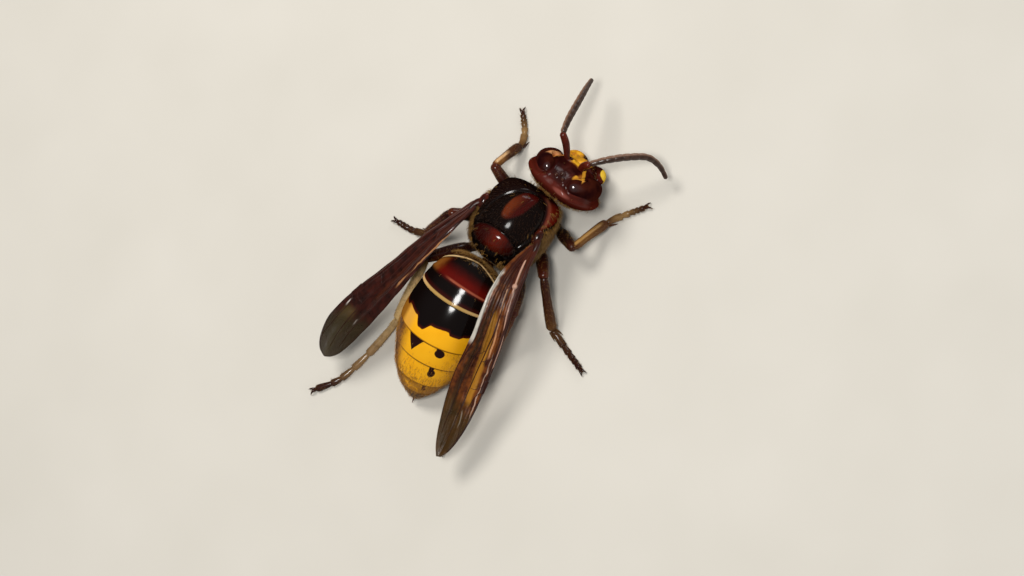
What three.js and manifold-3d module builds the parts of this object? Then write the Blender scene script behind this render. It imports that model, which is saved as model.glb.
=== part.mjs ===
// A European hornet at life size, resting on its six feet with its wings folded
// lengthwise beside the body. Millimetres, +Z up, head towards -Y, its left side towards +X.
import * as THREE from 'three';
import { mergeVertices } from 'three/addons/utils/BufferGeometryUtils.js';
import Module from 'manifold-3d';

const wasm = await Module();
wasm.setup();

// Driving dimensions
const gap = 0.3; // between two neighbouring pieces
const floor = 0;
const sliverSize = 0.015; // edges shorter than this are closed up after a cut
const originForward = -4.82; // the middle of the whole outline, in the body's own measure
const originLeft = -0.37;

const thoraxHalfWidth = 3.85;
const thoraxHalfHeight = 3.6;
const thoraxHeight = 5.05; // of the thorax's middle above the floor
const gasterHalfWidth = 4.5;
const gasterSegments = 6;
const tergiteStep = 0.05; // how far each ring's hind edge stands over the next one

const headHalfWidth = 3.75;
const headHalfHeight = 3.3;
const headFront = 2.0;
const headRear = 1.85;
const headPlace = { forward: 6.65, left: -1.85, height: 4.75 };
const headTurn = { pitch: 20, yaw: -5, roll: -3 }; // degrees
const eyeHeight = 2.1;
const eyeWidth = 1.3;
const eyeDepth = 1.3;
const clypeusHalfWidth = 1.75;
const clypeusHalfHeight = 1.5;
const clypeusDepth = 1.15;
const ocellusRadius = 0.24;
const mandibleThickness = 0.7;

const scapeThickness = 0.34; // radii
const flagellumThickness = 0.36;
const flagellumRings = 11;

const wingThickness = 0.5;
const veinHeight = 0.16;
const pleats = 3;
const pleatHeight = 0.16;
const hindWingSpan = { outer: 0.02, inner: 0.35, root: 0.07, tip: 0.7 }; // as shares of the forewing

const coxaRadius = 0.95;
const femurRadius = 0.66;
const tibiaRadius = 0.55;
const tarsusRadius = 0.4;
const sole = 0.27; // height of the middle of a foot lying on the floor
const tarsomeres = 5;
const clawLength = 0.75;
const clawSpread = 0.42; // radians to each side

// Finishes
const finish = (color, roughness) => new THREE.MeshStandardMaterial({ color, roughness, metalness: 0 });
const finishes = {
  redBrown: finish(0x4a1410, 0.3),
  black: finish(0x120c0b, 0.28),
  chestnut: finish(0x6b1d10, 0.28),
  yellow: finish(0xe0a41c, 0.42),
  eye: finish(0x2c0f0c, 0.16),
  antenna: finish(0x4e3327, 0.5),
  leg: finish(0x55281a, 0.42),
  tarsus: finish(0x8a6a3a, 0.5),
  wing: finish(0x5a3018, 0.3),
};

// A place from how far it is forward of the thorax, out to the left, and above the floor
const at = (forward, left, height) => new THREE.Vector3(left, -forward, height);

// The value of a smooth run through evenly spaced stations, at 0 to 1 of its length
function runThrough(values, share) {
  const place = THREE.MathUtils.clamp(share, 0, 1) * (values.length - 1);
  const index = Math.min(Math.floor(place), values.length - 2);
  const step = place - index;
  const near = values[index];
  const far = values[index + 1];
  const slopeIn = (far - values[Math.max(index - 1, 0)]) / 2;
  const slopeOut = (values[Math.min(index + 2, values.length - 1)] - near) / 2;
  const cubic = 2 * near - 2 * far + slopeIn + slopeOut;
  const square = -3 * near + 3 * far - 2 * slopeIn - slopeOut;
  return ((cubic * step + square) * step + slopeIn) * step + near;
}

// A closed geometry as a solid with its faces out
function solidOf(geometry) {
  geometry.deleteAttribute('normal');
  geometry.deleteAttribute('uv');
  const merged = mergeVertices(geometry, 1e-5);
  const points = merged.getAttribute('position').array;
  const triangles = Uint32Array.from(merged.index.array);
  const corner = (index) => new THREE.Vector3().fromArray(points, 3 * triangles[index]);
  let volume = 0;
  for (let first = 0; first < triangles.length; first += 3) {
    volume += corner(first).dot(corner(first + 1).cross(corner(first + 2)));
  }
  if (volume < 0) {
    for (let first = 0; first < triangles.length; first += 3) {
      const kept = triangles[first + 1];
      triangles[first + 1] = triangles[first + 2];
      triangles[first + 2] = kept;
    }
  }
  return new wasm.Manifold(new wasm.Mesh({ numProp: 3, vertProperties: points, triVerts: triangles }));
}

// Every point of a geometry moved by a function
function reshape(geometry, move) {
  const position = geometry.getAttribute('position');
  const point = new THREE.Vector3();
  for (let index = 0; index < position.count; index += 1) {
    point.fromBufferAttribute(position, index);
    const moved = move(point);
    position.setXYZ(index, moved.x, moved.y, moved.z);
  }
  return geometry;
}

// A solid whose rings follow one another from share 0 to share 1; its ends are flat
function ringSolid(sides, steps, ringMiddle, ringPoint) {
  return solidOf(reshape(new THREE.CylinderGeometry(1, 1, 1, sides, steps), (point) => {
    const share = 0.5 - point.y;
    const reach = Math.hypot(point.x, point.z);
    const middle = ringMiddle(share);
    const edge = ringPoint(share, Math.atan2(point.z, point.x));
    return edge.sub(middle).multiplyScalar(Math.min(reach, 1)).add(middle);
  }));
}

// A ball stretched to three half sizes, set at a place, turned by an optional matrix
function ellipsoid(middle, half, sides, turn) {
  const geometry = new THREE.SphereGeometry(1, sides, Math.max(6, Math.round(sides * 0.6)));
  geometry.rotateX(Math.PI / 2);
  geometry.scale(half.x, half.y, half.z);
  if (turn) {
    geometry.applyMatrix4(turn);
  }
  geometry.translate(middle.x, middle.y, middle.z);
  return solidOf(geometry);
}

// A rounded limb along a path. Its half thicknesses run through the stations, it reaches past
// the ends of the path by the two overshoots, and flat is its height as a share of its width.
function limb(path, radii, sides, steps, options = {}) {
  const { grow = 0, flat = 1, past = [0, 0], even = false, notch = () => 1 } = options;
  const ends = [path[0].clone().sub(path[1]), path[path.length - 1].clone().sub(path[path.length - 2])];
  const stretched = [
    path[0].clone().addScaledVector(ends[0].normalize(), past[0] + 0.01),
    ...path.slice(1, -1),
    path[path.length - 1].clone().addScaledVector(ends[1].normalize(), past[1] + 0.01),
  ];
  const curve = new THREE.CatmullRomCurve3(stretched, false, 'centripetal');
  const length = curve.getLength();
  const shares = Array.from({ length: steps + 1 }, (unused, ring) => (
    even ? ring / steps : (1 - Math.cos((Math.PI * ring) / steps)) / 2
  ));
  const tangents = shares.map((share) => curve.getTangentAt(share));
  const normals = [new THREE.Vector3().crossVectors(tangents[0], new THREE.Vector3(0, 0, 1)).normalize()];
  for (let ring = 1; ring <= steps; ring += 1) {
    const turn = new THREE.Quaternion().setFromUnitVectors(tangents[ring - 1], tangents[ring]);
    normals.push(normals[ring - 1].clone().applyQuaternion(turn));
  }
  return solidOf(reshape(new THREE.SphereGeometry(1, sides, steps), (point) => {
    const ring = Math.round((Math.acos(THREE.MathUtils.clamp(point.y, -1, 1)) / Math.PI) * steps);
    const share = shares[ring];
    const middle = curve.getPointAt(share);
    const tangent = tangents[ring];
    const radius = runThrough(radii, share);
    const fromEnd = Math.min(Math.min(share, 1 - share) * length / radius, 1);
    middle.addScaledVector(tangent, Math.sign(share - 0.5) * (1 - fromEnd) * grow);
    if (ring === 0 || ring === steps) {
      return middle;
    }
    const dome = Math.sqrt(1 - (1 - fromEnd) ** 2);
    const thick = (radius * notch(share) + grow) * dome;
    const around = Math.atan2(point.z, point.x);
    middle.addScaledVector(normals[ring], Math.cos(around) * thick);
    const upwards = new THREE.Vector3().crossVectors(tangent, normals[ring]);
    return middle.addScaledVector(upwards, Math.sin(around) * thick * flat);
  }));
}

// The thorax and the gaster are runs of upright rings: where each is, how it leans and its
// half sizes out to the side, up and down
const thoraxRings = {
  forward: [4.35, 4.2, 3.65, 2.3, 0.4, -1.4, -2.9, -3.9, -4.45],
  height: [4.5, 4.6, 4.85, 5.0, thoraxHeight, 5.0, 4.85, 4.6, 4.4],
  lean: [0, 0, 0, 0, 0, 0, 0, 0, 0],
  side: [0.9, 1.95, 3.0, 3.65, thoraxHalfWidth, 3.75, 3.35, 2.5, 1.2],
  up: [0.85, 1.6, 2.6, 3.3, thoraxHalfHeight, 3.55, 2.95, 1.95, 0.95],
  down: [0.8, 1.6, 2.6, 3.15, 3.35, 3.3, 3.0, 2.3, 1.1],
};
const gasterRings = {
  forward: [-4.5, -4.95, -5.35, -6.0, -7.35, -8.9, -10.9, -12.7, -14.7, -16.6, -18.2, -19.2, -20.0],
  height: [4.3, 4.45, 4.8, 5.1, 5.2, 5.1, 4.75, 4.25, 3.45, 2.7, 2.05, 1.65, 1.3],
  lean: [0, -8, -14, -12, 4, 20, 26, 30, 35, 41, 47, 51, 54],
  side: [0.6, 1.0, 2.2, 3.25, 3.95, 4.35, gasterHalfWidth, 4.45, 4.05, 3.3, 2.3, 1.4, 0.4],
  up: [0.55, 0.95, 2.05, 3.0, 3.65, 4.05, 4.15, 4.0, 3.45, 2.7, 1.75, 1.0, 0.3],
  down: [0.5, 0.9, 1.9, 2.8, 3.4, 3.65, 3.7, 3.5, 2.85, 2.05, 1.3, 0.75, 0.25],
};
// Where the six rings of the gaster end, as shares of its run
const gasterEnds = [0, 5 / 12, 7 / 12, 8 / 12, 9.25 / 12, 10.2 / 12, 1];

function ringOf(rings, share) {
  const lean = THREE.MathUtils.degToRad(runThrough(rings.lean, share));
  return {
    middle: at(runThrough(rings.forward, share), 0, runThrough(rings.height, share)),
    upwards: at(-Math.sin(lean), 0, Math.cos(lean)),
    side: runThrough(rings.side, share),
    up: runThrough(rings.up, share),
    down: runThrough(rings.down, share),
  };
}

// The stretch of a run of rings between two shares. Swell scales its rings and across moves
// them to the left.
function bodyStretch(rings, from, to, sides, steps, options = {}) {
  const { grow = 0, swell = () => 1, across = () => 0 } = options;
  const shareAt = (local) => from + (to - from) * local;
  const middleAt = (local) => {
    const { middle } = ringOf(rings, shareAt(local));
    const pastFront = Math.max(0, 1 - local * 4);
    const pastBack = Math.max(0, local * 4 - 3);
    return middle.add(at(grow * (pastFront - pastBack), across(shareAt(local)), 0));
  };
  return ringSolid(sides, steps, middleAt, (local, angle) => {
    const ring = ringOf(rings, shareAt(local));
    const size = swell(local);
    const rise = Math.sin(angle);
    const tall = (rise > 0 ? ring.up : ring.down) * size + grow;
    const point = middleAt(local);
    point.add(at(0, Math.cos(angle) * (ring.side * size + grow), 0));
    return point.addScaledVector(ring.upwards, rise * tall);
  });
}

const hornet = new THREE.Group();

// Adds a solid to the model as its one largest closed body
function addPiece(name, solid, material) {
  const bodies = solid.asOriginal().simplify(sliverSize).decompose();
  const [largest] = bodies.sort((one, other) => other.volume() - one.volume());
  const { vertProperties, triVerts } = largest.getMesh();
  const geometry = new THREE.BufferGeometry();
  geometry.setAttribute('position', new THREE.BufferAttribute(vertProperties, 3));
  geometry.setIndex(new THREE.BufferAttribute(triVerts, 1));
  geometry.computeVertexNormals();
  const mesh = new THREE.Mesh(geometry, material);
  mesh.name = name;
  hornet.add(mesh);
}

// Thorax: a collar round the front, the domed middle, the raised cushion behind it and the
// rear that slopes to the waist
const thoraxSides = 30;
const thorax = bodyStretch(thoraxRings, 0, 1, thoraxSides, 20);
const thoraxGrown = bodyStretch(thoraxRings, 0, 1, thoraxSides, 20, { grow: gap });

const collarSlope = new THREE.Vector3(0, -1, 0.75).normalize(); // across the collar's hind edge
const collarEdge = collarSlope.dot(at(0.7, 0, 7));
const rearSlope = new THREE.Vector3(0, 1, -0.25).normalize(); // across the rear's front edge
const rearEdge = rearSlope.dot(at(-3.2, 0, 5));
const domeHalfWidth = 2.8;
const domeLength = 3.85;
const domeUnderside = 5.2;

function domeZone(grow) {
  const height = 6;
  const geometry = new THREE.CylinderGeometry(1, 1, height, 32);
  geometry.rotateX(Math.PI / 2);
  geometry.scale(domeHalfWidth + grow, domeLength + grow, 1);
  geometry.translate(0, 0, domeUnderside - grow + height / 2);
  return solidOf(geometry);
}

const cushion = { middle: at(-2.45, 0, 7.45), half: new THREE.Vector3(2.7, 1.25, 1.2) };
const cushionRoom = ellipsoid(cushion.middle, cushion.half.clone().addScalar(gap), 20);
const blockSize = 30; // larger than the thorax all round
const block = solidOf(new THREE.BoxGeometry(blockSize, blockSize, blockSize));
const beyond = (slope, edge) => block.trimByPlane(slope.toArray(), edge);
const inFront = (slope, edge) => block.trimByPlane(slope.clone().negate().toArray(), -edge);
const scutellum = ellipsoid(cushion.middle, cushion.half, 20);
const collar = thorax.intersect(beyond(collarSlope, collarEdge + gap / 2)).subtract(domeZone(gap));
const middleThorax = thorax
  .subtract(beyond(collarSlope, collarEdge - gap / 2).subtract(domeZone(0)))
  .intersect(inFront(rearSlope, rearEdge - gap / 2))
  .subtract(cushionRoom);
const rearThorax = thorax.intersect(beyond(rearSlope, rearEdge + gap / 2)).subtract(cushionRoom);

addPiece('thorax_pronotum', collar, finishes.chestnut);
addPiece('thorax_mesothorax', middleThorax, finishes.black);
addPiece('thorax_scutellum', scutellum, finishes.chestnut);
addPiece('thorax_propodeum', rearThorax, finishes.black);

// Head, with its own left, upwards and outwards directions
const headMatrix = new THREE.Matrix4();
headMatrix.makeRotationFromEuler(new THREE.Euler(
  THREE.MathUtils.degToRad(-headTurn.pitch),
  THREE.MathUtils.degToRad(headTurn.roll),
  THREE.MathUtils.degToRad(headTurn.yaw),
  'ZYX',
));
headMatrix.setPosition(at(headPlace.forward, headPlace.left, headPlace.height));
const onHead = (left, upwards, outwards) => at(outwards, left, upwards).applyMatrix4(headMatrix);

// The skull: wide at the eyes, narrower towards the jaws, flat behind
function skull(grow) {
  const geometry = new THREE.SphereGeometry(1, 26, 17);
  return solidOf(reshape(geometry, (point) => {
    const narrow = 1 - 0.36 * THREE.MathUtils.smoothstep(-point.y, 0, 1);
    const crown = 1 - 0.06 * THREE.MathUtils.smoothstep(point.y, 0.2, 1);
    const hollow = 0.74 + 0.26 * THREE.MathUtils.smoothstep(Math.hypot(point.x, point.y), 0, 0.65);
    const depth = point.z > 0 ? headFront : headRear * hollow;
    const boxy = (value, power) => Math.sign(value) * Math.abs(value) ** power;
    return onHead(
      boxy(point.x, 0.85) * (headHalfWidth + grow) * narrow * crown,
      boxy(point.y, 0.85) * (headHalfHeight + grow),
      boxy(point.z, point.z > 0 ? 0.95 : 0.8) * (depth + grow),
    );
  }));
}

const headTurnOnly = new THREE.Matrix4().extractRotation(headMatrix);
const headBall = (place, half, sides, grow = 0) => ellipsoid(
  onHead(place[0], place[1], place[2]),
  new THREE.Vector3(half[0] + grow, half[2] + grow, half[1] + grow),
  sides,
  headTurnOnly,
);

// Kidney-shaped eyes, notched towards the feelers
const eyePlace = (side) => [side * 2.62, 0.3, 0.72];
const eyeNotch = (side, grow) => headBall([side * 1.15, 0.25, 1.9], [0.8, 0.62, 1.1], 10, -grow);
const eyeSolid = (side, grow) => headBall(eyePlace(side), [eyeWidth, eyeHeight, eyeDepth], 18, grow)
  .subtract(eyeNotch(side, grow));

// The face shield, and three simple eyes on the crown
const clypeusPlace = [0, -1.75, 1.15];
const clypeusHalf = [clypeusHalfWidth, clypeusHalfHeight, clypeusDepth];
const ocelli = [[0, 2.85, 0.95], [0.42, 3.1, 0.45], [-0.42, 3.1, 0.45]];
const clypeus = (grow) => headBall(clypeusPlace, clypeusHalf, 14, grow);
const skullGrown = skull(gap).add(clypeus(gap));
let skullSolid = skull(0).add(clypeus(0));
for (const place of ocelli) {
  skullSolid = skullSolid.add(headBall(place, [ocellusRadius, ocellusRadius, ocellusRadius], 8));
}

for (const [label, side] of [['left', 1], ['right', -1]]) {
  skullSolid = skullSolid.subtract(eyeSolid(side, gap));
  addPiece(`eye_${label}`, eyeSolid(side, 0), finishes.eye);
}
addPiece('head', skullSolid.subtract(thoraxGrown), finishes.redBrown);

// Jaws that meet below the face
for (const [label, side] of [['left', 1], ['right', -1]]) {
  const jaw = limb(
    [onHead(side * 1.95, -2.35, 0.9), onHead(side * 1.5, -3.35, 1.45), onHead(side * 0.45, -3.95, 1.6)],
    [mandibleThickness, mandibleThickness * 1.1, mandibleThickness * 0.8, 0.22],
    12,
    9,
    { flat: 0.8 },
  );
  addPiece(`mandible_${label}`, jaw.subtract(skullGrown), finishes.yellow);
}

// The neck reaches from the back of the head into the collar
const neck = limb([onHead(0, -0.3, -0.6), at(3.4, 0, 4.5)], [0.95, 0.95, 0.95], 12, 8);
addPiece('neck', neck.subtract(skullGrown).subtract(thoraxGrown), finishes.black);

// Feelers: a stout first joint, then a bent whip of rings
const scapes = {
  left: [onHead(0.78, 0.15, 1.7), at(9.5, -0.25, 6.4), at(10.2, 0.42, 7.3)],
  right: [onHead(-0.78, 0.15, 1.7), at(8.55, -2.9, 6.1), at(9.15, -3.6, 6.8)],
};
const flagella = {
  left: [
    at(10.2, 0.42, 7.3), at(11.6, 0.85, 7.0), at(13.8, 1.45, 6.0),
    at(15.6, 2.0, 4.9), at(16.6, 2.35, 4.0),
  ],
  right: [
    at(9.15, -3.6, 6.8), at(10.4, -4.7, 6.6), at(12.0, -6.2, 5.7),
    at(13.1, -7.5, 4.5), at(13.1, -8.6, 3.3), at(12.5, -9.6, 2.2),
  ],
};
const ringedWhip = (share) => 1 - 0.08 * Math.cos(share * flagellumRings * 2 * Math.PI);
for (const label of ['left', 'right']) {
  const scapeRadii = [scapeThickness * 0.75, scapeThickness, scapeThickness * 1.1, scapeThickness];
  const scape = (grow) => limb(scapes[label], scapeRadii, 10, 8, { grow, past: [0, scapeThickness * 0.6] });
  addPiece(`antenna_scape_${label}`, scape(0).subtract(skullGrown), finishes.redBrown);
  const whip = limb(
    flagella[label],
    [flagellumThickness * 0.8, flagellumThickness, flagellumThickness * 1.05, flagellumThickness, 0.27],
    8,
    2 * flagellumRings,
    { notch: ringedWhip, even: true },
  );
  addPiece(`antenna_flagellum_${label}`, whip.subtract(scape(gap)), finishes.antenna);
}

// Gaster: six bells, each standing a little over the next, bent down to the tip
const gasterAcross = (share) => 0.15 - 0.65 * share ** 6;
const bellFinish = ['black', 'black', 'yellow', 'yellow', 'yellow', 'yellow'];
for (let bell = 0; bell < gasterSegments; bell += 1) {
  const start = gasterEnds[bell];
  const soon = 0.01;
  const here = ringOf(gasterRings, start).middle;
  const run = here.distanceTo(ringOf(gasterRings, start + soon).middle) / soon;
  const startGap = bell === 0 ? 0 : (1.3 * gap) / run; // the rings lean, so the gap is a little more
  const steps = bell === 0 ? 9 : 4;
  const step = bell === 0 ? tergiteStep / 2 : tergiteStep;
  const bellSolid = bodyStretch(gasterRings, start + startGap, gasterEnds[bell + 1], 26, steps, {
    swell: (local) => 1 + step * (Math.sqrt(local) - 0.5),
    across: gasterAcross,
  });
  addPiece(`gaster_${bell + 1}`, bellSolid.subtract(thoraxGrown), finishes[bellFinish[bell]]);
}

// Tegulae: the small scales over the wing roots
const tegulaHalf = new THREE.Vector3(0.5, 0.8, 0.42);
const tegulaPlace = (side) => at(0.25, side * 3.5, 6.75);
for (const [label, side] of [['left', 1], ['right', -1]]) {
  const scale = ellipsoid(tegulaPlace(side), tegulaHalf, 12);
  addPiece(`tegula_${label}`, scale.subtract(thoraxGrown), finishes.chestnut);
}

// Wings: thin blades pleated along their length, with the main veins raised in the surface.
// Each is ruled between its outer and inner edge.
function wingBlade(edges, { columns, rows, drop, span, veins, crossVeins }) {
  const outerCurve = new THREE.CatmullRomCurve3(edges.outer, false, 'centripetal');
  const innerCurve = new THREE.CatmullRomCurve3(edges.inner, false, 'centripetal');
  const perRow = columns + 1;
  const layers = [[], []];
  for (let row = 0; row <= rows; row += 1) {
    const along = span.root + (span.tip - span.root) * (row / rows);
    const start = outerCurve.getPointAt(along);
    const across = innerCurve.getPointAt(along).sub(start);
    const ahead = outerCurve.getTangentAt(along).add(innerCurve.getTangentAt(along)).normalize();
    const normal = new THREE.Vector3().crossVectors(across, ahead).normalize();
    normal.multiplyScalar(Math.sign(normal.z));
    const flatTip = Math.min(1, along * 6, (1 - along) * 5);
    const taper = Math.sqrt(Math.min(1, (1 - row / rows) * 4 + 0.12)); // a hindwing's own round tip
    for (let column = 0; column <= columns; column += 1) {
      const share = column / columns;
      const narrowed = span.tip < 1 ? 0.5 + (share - 0.5) * taper : share;
      const side = span.outer + (span.inner - span.outer) * narrowed;
      const pleat = pleatHeight * Math.sin(side * Math.PI * pleats) * flatTip - drop;
      const onCrossVein = crossVeins.includes(row) && share > 0.1 && share < 0.9;
      const vein = veins.includes(column) || onCrossVein ? veinHeight : 0;
      const middle = start.clone().addScaledVector(across, side).addScaledVector(normal, pleat);
      layers[0].push(middle.clone().addScaledVector(normal, wingThickness / 2 + vein));
      layers[1].push(middle.clone().addScaledVector(normal, -wingThickness / 2));
    }
  }
  const under = layers[0].length;
  const faces = new THREE.PlaneGeometry(1, 1, columns, rows).index.array;
  const triangles = [];
  for (let first = 0; first < faces.length; first += 3) {
    const [one, two, three] = faces.slice(first, first + 3);
    triangles.push(one, two, three, under + one, under + three, under + two);
  }
  const rim = [];
  for (let column = 0; column < columns; column += 1) {
    rim.push([column, column + 1], [rows * perRow + column + 1, rows * perRow + column]);
  }
  for (let row = 0; row < rows; row += 1) {
    rim.push([(row + 1) * perRow, row * perRow]);
    rim.push([row * perRow + columns, (row + 1) * perRow + columns]);
  }
  for (const [one, two] of rim) {
    triangles.push(one, two, under + two, one, under + two, under + one);
  }
  const geometry = new THREE.BufferGeometry().setFromPoints(layers.flat());
  geometry.setIndex(triangles);
  return solidOf(geometry);
}

// The edges of the blades: the left one is swung out a little further than the right one
const wingEdges = {
  left: {
    outer: [
      at(-0.2, 4.2, 6.7), at(-3.0, 5.35, 6.5), at(-6.5, 6.95, 6.0), at(-10.2, 8.35, 5.3),
      at(-15.0, 10.2, 4.6), at(-18.5, 11.0, 4.15), at(-20.6, 10.6, 3.95),
      at(-21.6, 9.9, 3.9), at(-22.0, 9.1, 3.9),
    ],
    inner: [
      at(-0.9, 3.5, 7.15), at(-4.0, 3.9, 7.6), at(-7.5, 4.5, 7.5), at(-11.2, 5.15, 6.8),
      at(-16.2, 6.2, 5.5), at(-19.6, 7.2, 4.5), at(-20.9, 7.75, 4.15),
      at(-21.6, 8.3, 4.0), at(-21.98, 8.9, 3.9),
    ],
  },
  right: {
    outer: [
      at(-0.2, -4.1, 6.7), at(-3.4, -4.75, 6.9), at(-7.2, -5.75, 6.6), at(-10.2, -6.6, 6.0),
      at(-16.9, -7.75, 4.6), at(-20.4, -8.05, 4.2), at(-22.3, -7.85, 4.0), at(-23.3, -7.45, 3.95),
    ],
    inner: [
      at(-0.9, -3.4, 7.15), at(-3.9, -3.15, 8.7), at(-7.0, -3.45, 9.25), at(-11.4, -4.3, 8.4),
      at(-16.2, -4.35, 6.0), at(-20.5, -5.5, 4.7), at(-22.6, -6.35, 4.1), at(-23.5, -7.0, 3.95),
    ],
  },
};
const wholeSpan = { outer: 0, inner: 1, root: 0, tip: 1 };
const hindWingDrop = wingThickness + veinHeight + gap + 0.05;
for (const [label, side] of [['left', 1], ['right', -1]]) {
  const scaleGrown = ellipsoid(tegulaPlace(side), tegulaHalf.clone().addScalar(gap), 12);
  const clear = (blade) => blade.subtract(thoraxGrown).subtract(scaleGrown);
  const foreWing = wingBlade(wingEdges[label], {
    columns: 11, rows: 22, drop: 0, span: wholeSpan, veins: [0, 1, 3, 6, 9], crossVeins: [13, 17],
  });
  const hindWing = wingBlade(wingEdges[label], {
    columns: 5, rows: 14, drop: hindWingDrop, span: hindWingSpan, veins: [0, 3], crossVeins: [],
  });
  addPiece(`forewing_${label}`, clear(foreWing), finishes.wing);
  addPiece(`hindwing_${label}`, clear(hindWing), finishes.wing);
}

// Legs: each is a chain of hip, thigh, shin and foot, given by its joints
const legs = {
  front_left: {
    hip: at(3.0, 1.2, 3.2), socket: at(2.5, 2.75, 1.95), knee: at(3.79, 5.76, 3.75),
    ankle: at(7.0, 5.79, 0.85), foot: [at(7.6, 5.95, 0.5), at(8.6, 6.5, sole), at(10.0, 7.75, sole)],
    size: 0.92,
  },
  front_right: {
    hip: at(3.0, -1.2, 3.2), socket: at(2.35, -2.75, 1.95), knee: at(1.42, -6.19, 3.75),
    ankle: at(5.49, -6.63, 0.85), foot: [at(6.2, -6.9, 0.5), at(7.3, -7.6, sole), at(9.0, -8.85, sole)],
    size: 0.92,
  },
  middle_left: {
    hip: at(0.2, 1.3, 2.9), socket: at(-0.3, 2.85, 1.6), knee: at(-2.67, 6.57, 4.3),
    ankle: at(-5.74, 8.63, 0.85), foot: [at(-6.0, 9.3, 0.5), at(-6.35, 10.4, sole), at(-6.5, 12.3, sole)],
    size: 0.96,
  },
  middle_right: {
    hip: at(0.2, -1.3, 2.9), socket: at(-0.3, -2.7, 1.6), knee: at(-2.64, -5.49, 4.0),
    ankle: at(-6.5, -8.36, 0.85),
    foot: [at(-6.75, -9.1, 0.5), at(-7.24, -10.4, sole), at(-8.1, -13.0, sole)],
    size: 0.96,
  },
  hind_left: {
    hip: at(-2.4, 1.2, 2.9), socket: at(-3.3, 2.55, 1.75), knee: at(-7.8, 5.9, 4.3),
    ankle: at(-14.68, 5.84, 0.95),
    foot: [at(-16.4, 6.1, 0.5), at(-20.6, 6.8, sole), at(-23.3, 7.6, sole), at(-25.5, 9.1, sole)],
    size: 1.05,
  },
  hind_right: {
    hip: at(-2.4, -1.2, 2.9), socket: at(-3.3, -2.55, 1.75), knee: at(-7.6, -5.2, 4.3),
    ankle: at(-14.3, -5.1, 0.95),
    foot: [at(-15.9, -5.15, 0.5), at(-19.3, -5.3, sole), at(-21.0, -5.5, sole), at(-22.8, -5.9, sole)],
    size: 1.05,
  },
};
const between = (from, to, share) => from.clone().lerp(to, share);
// Each joint of a foot widens a little towards its far end
const footRings = (share) => 0.9 + 0.14 * (share * tarsomeres - Math.floor(share * tarsomeres - 1e-6));

// The two hooks at the end of a foot
function claws(foot) {
  const toe = foot[foot.length - 1];
  const root = between(toe, foot[foot.length - 2], 0.12);
  const ahead = toe.clone().sub(foot[foot.length - 2]).setZ(0).normalize();
  return [-clawSpread, clawSpread].map((turn) => {
    const out = ahead.clone().applyAxisAngle(new THREE.Vector3(0, 0, 1), turn);
    const arch = toe.clone().addScaledVector(out, clawLength * 0.55).setZ(0.44);
    const point = toe.clone().addScaledVector(out, clawLength).setZ(0.16);
    return limb([root, arch, point], [0.2, 0.17, 0.09], 6, 5);
  });
}

for (const [label, leg] of Object.entries(legs)) {
  const { hip, socket, knee, ankle, foot, size } = leg;
  const thick = (radius, ...shares) => shares.map((share) => radius * share * size);
  const coxa = (grow) => limb([hip, socket], thick(coxaRadius, 1, 1, 0.85, 0.6), 10, 7, { grow });
  const femur = (grow) => limb(
    [socket, between(socket, knee, 0.5), knee],
    thick(femurRadius, 0.7, 1, 0.95, 0.78),
    10,
    8,
    { grow, past: [0.1, femurRadius * 0.4] },
  );
  const tibia = (grow) => limb(
    [knee, between(knee, ankle, 0.5).add(at(0, 0, 0.12)), ankle],
    thick(tibiaRadius, 0.85, 0.9, 1.02, 0.92),
    10,
    8,
    { grow, past: [0.15, 0.1] },
  );
  let tarsus = limb([ankle, ...foot], thick(tarsusRadius, 1, 0.95, 0.85, 0.85), 8, 15, {
    notch: footRings, even: true,
  });
  for (const claw of claws(foot)) {
    tarsus = tarsus.add(claw);
  }
  addPiece(`leg_${label}_coxa`, coxa(0).subtract(thoraxGrown), finishes.leg);
  addPiece(`leg_${label}_femur`, femur(0).subtract(coxa(gap)).subtract(thoraxGrown), finishes.leg);
  addPiece(`leg_${label}_tibia`, tibia(0).subtract(femur(gap)), finishes.leg);
  tarsus = tarsus.subtract(tibia(gap)).trimByPlane([0, 0, 1], floor);
  addPiece(`leg_${label}_tarsus`, tarsus, finishes.tarsus);
}

hornet.position.set(-originLeft, originForward, 0);

export default hornet;
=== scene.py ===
# A European hornet at life size: glossy horn, pleated veined wings and short golden hair
import math

import bpy
import numpy as np
from mathutils import Matrix, Vector


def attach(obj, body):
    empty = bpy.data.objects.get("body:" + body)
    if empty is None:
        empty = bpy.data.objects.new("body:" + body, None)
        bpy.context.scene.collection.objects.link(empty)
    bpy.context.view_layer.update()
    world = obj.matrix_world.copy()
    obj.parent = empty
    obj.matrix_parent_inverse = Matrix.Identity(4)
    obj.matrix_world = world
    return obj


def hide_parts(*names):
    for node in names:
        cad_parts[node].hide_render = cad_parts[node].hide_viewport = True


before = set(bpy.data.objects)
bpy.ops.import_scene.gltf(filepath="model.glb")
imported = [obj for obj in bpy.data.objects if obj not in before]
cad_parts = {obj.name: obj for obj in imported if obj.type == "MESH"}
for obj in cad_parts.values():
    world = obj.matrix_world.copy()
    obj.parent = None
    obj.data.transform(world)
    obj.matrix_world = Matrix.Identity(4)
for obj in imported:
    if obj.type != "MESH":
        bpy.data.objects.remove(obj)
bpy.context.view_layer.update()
scene = bpy.context.scene
detail = 1.0
metre = 0.001  # of one millimetre: all sizes below are in millimetres
bodyZero = {'left': 0.37, 'forward': 4.82}  # of the thorax's own zero from the frame's origin


# Places and smooth runs

bothSides = (('left', 1), ('right', -1))


def fine(count):
    return int(count * detail)


def at(forward, left, height):  # forward of the thorax, out to its left, above the floor
    x = left + bodyZero['left']
    y = -np.asarray(forward, float) - bodyZero['forward']
    return np.stack(np.broadcast_arrays(x, y, height), -1).astype(float)


def allAt(stations):
    return [at(*station) for station in stations]


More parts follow.
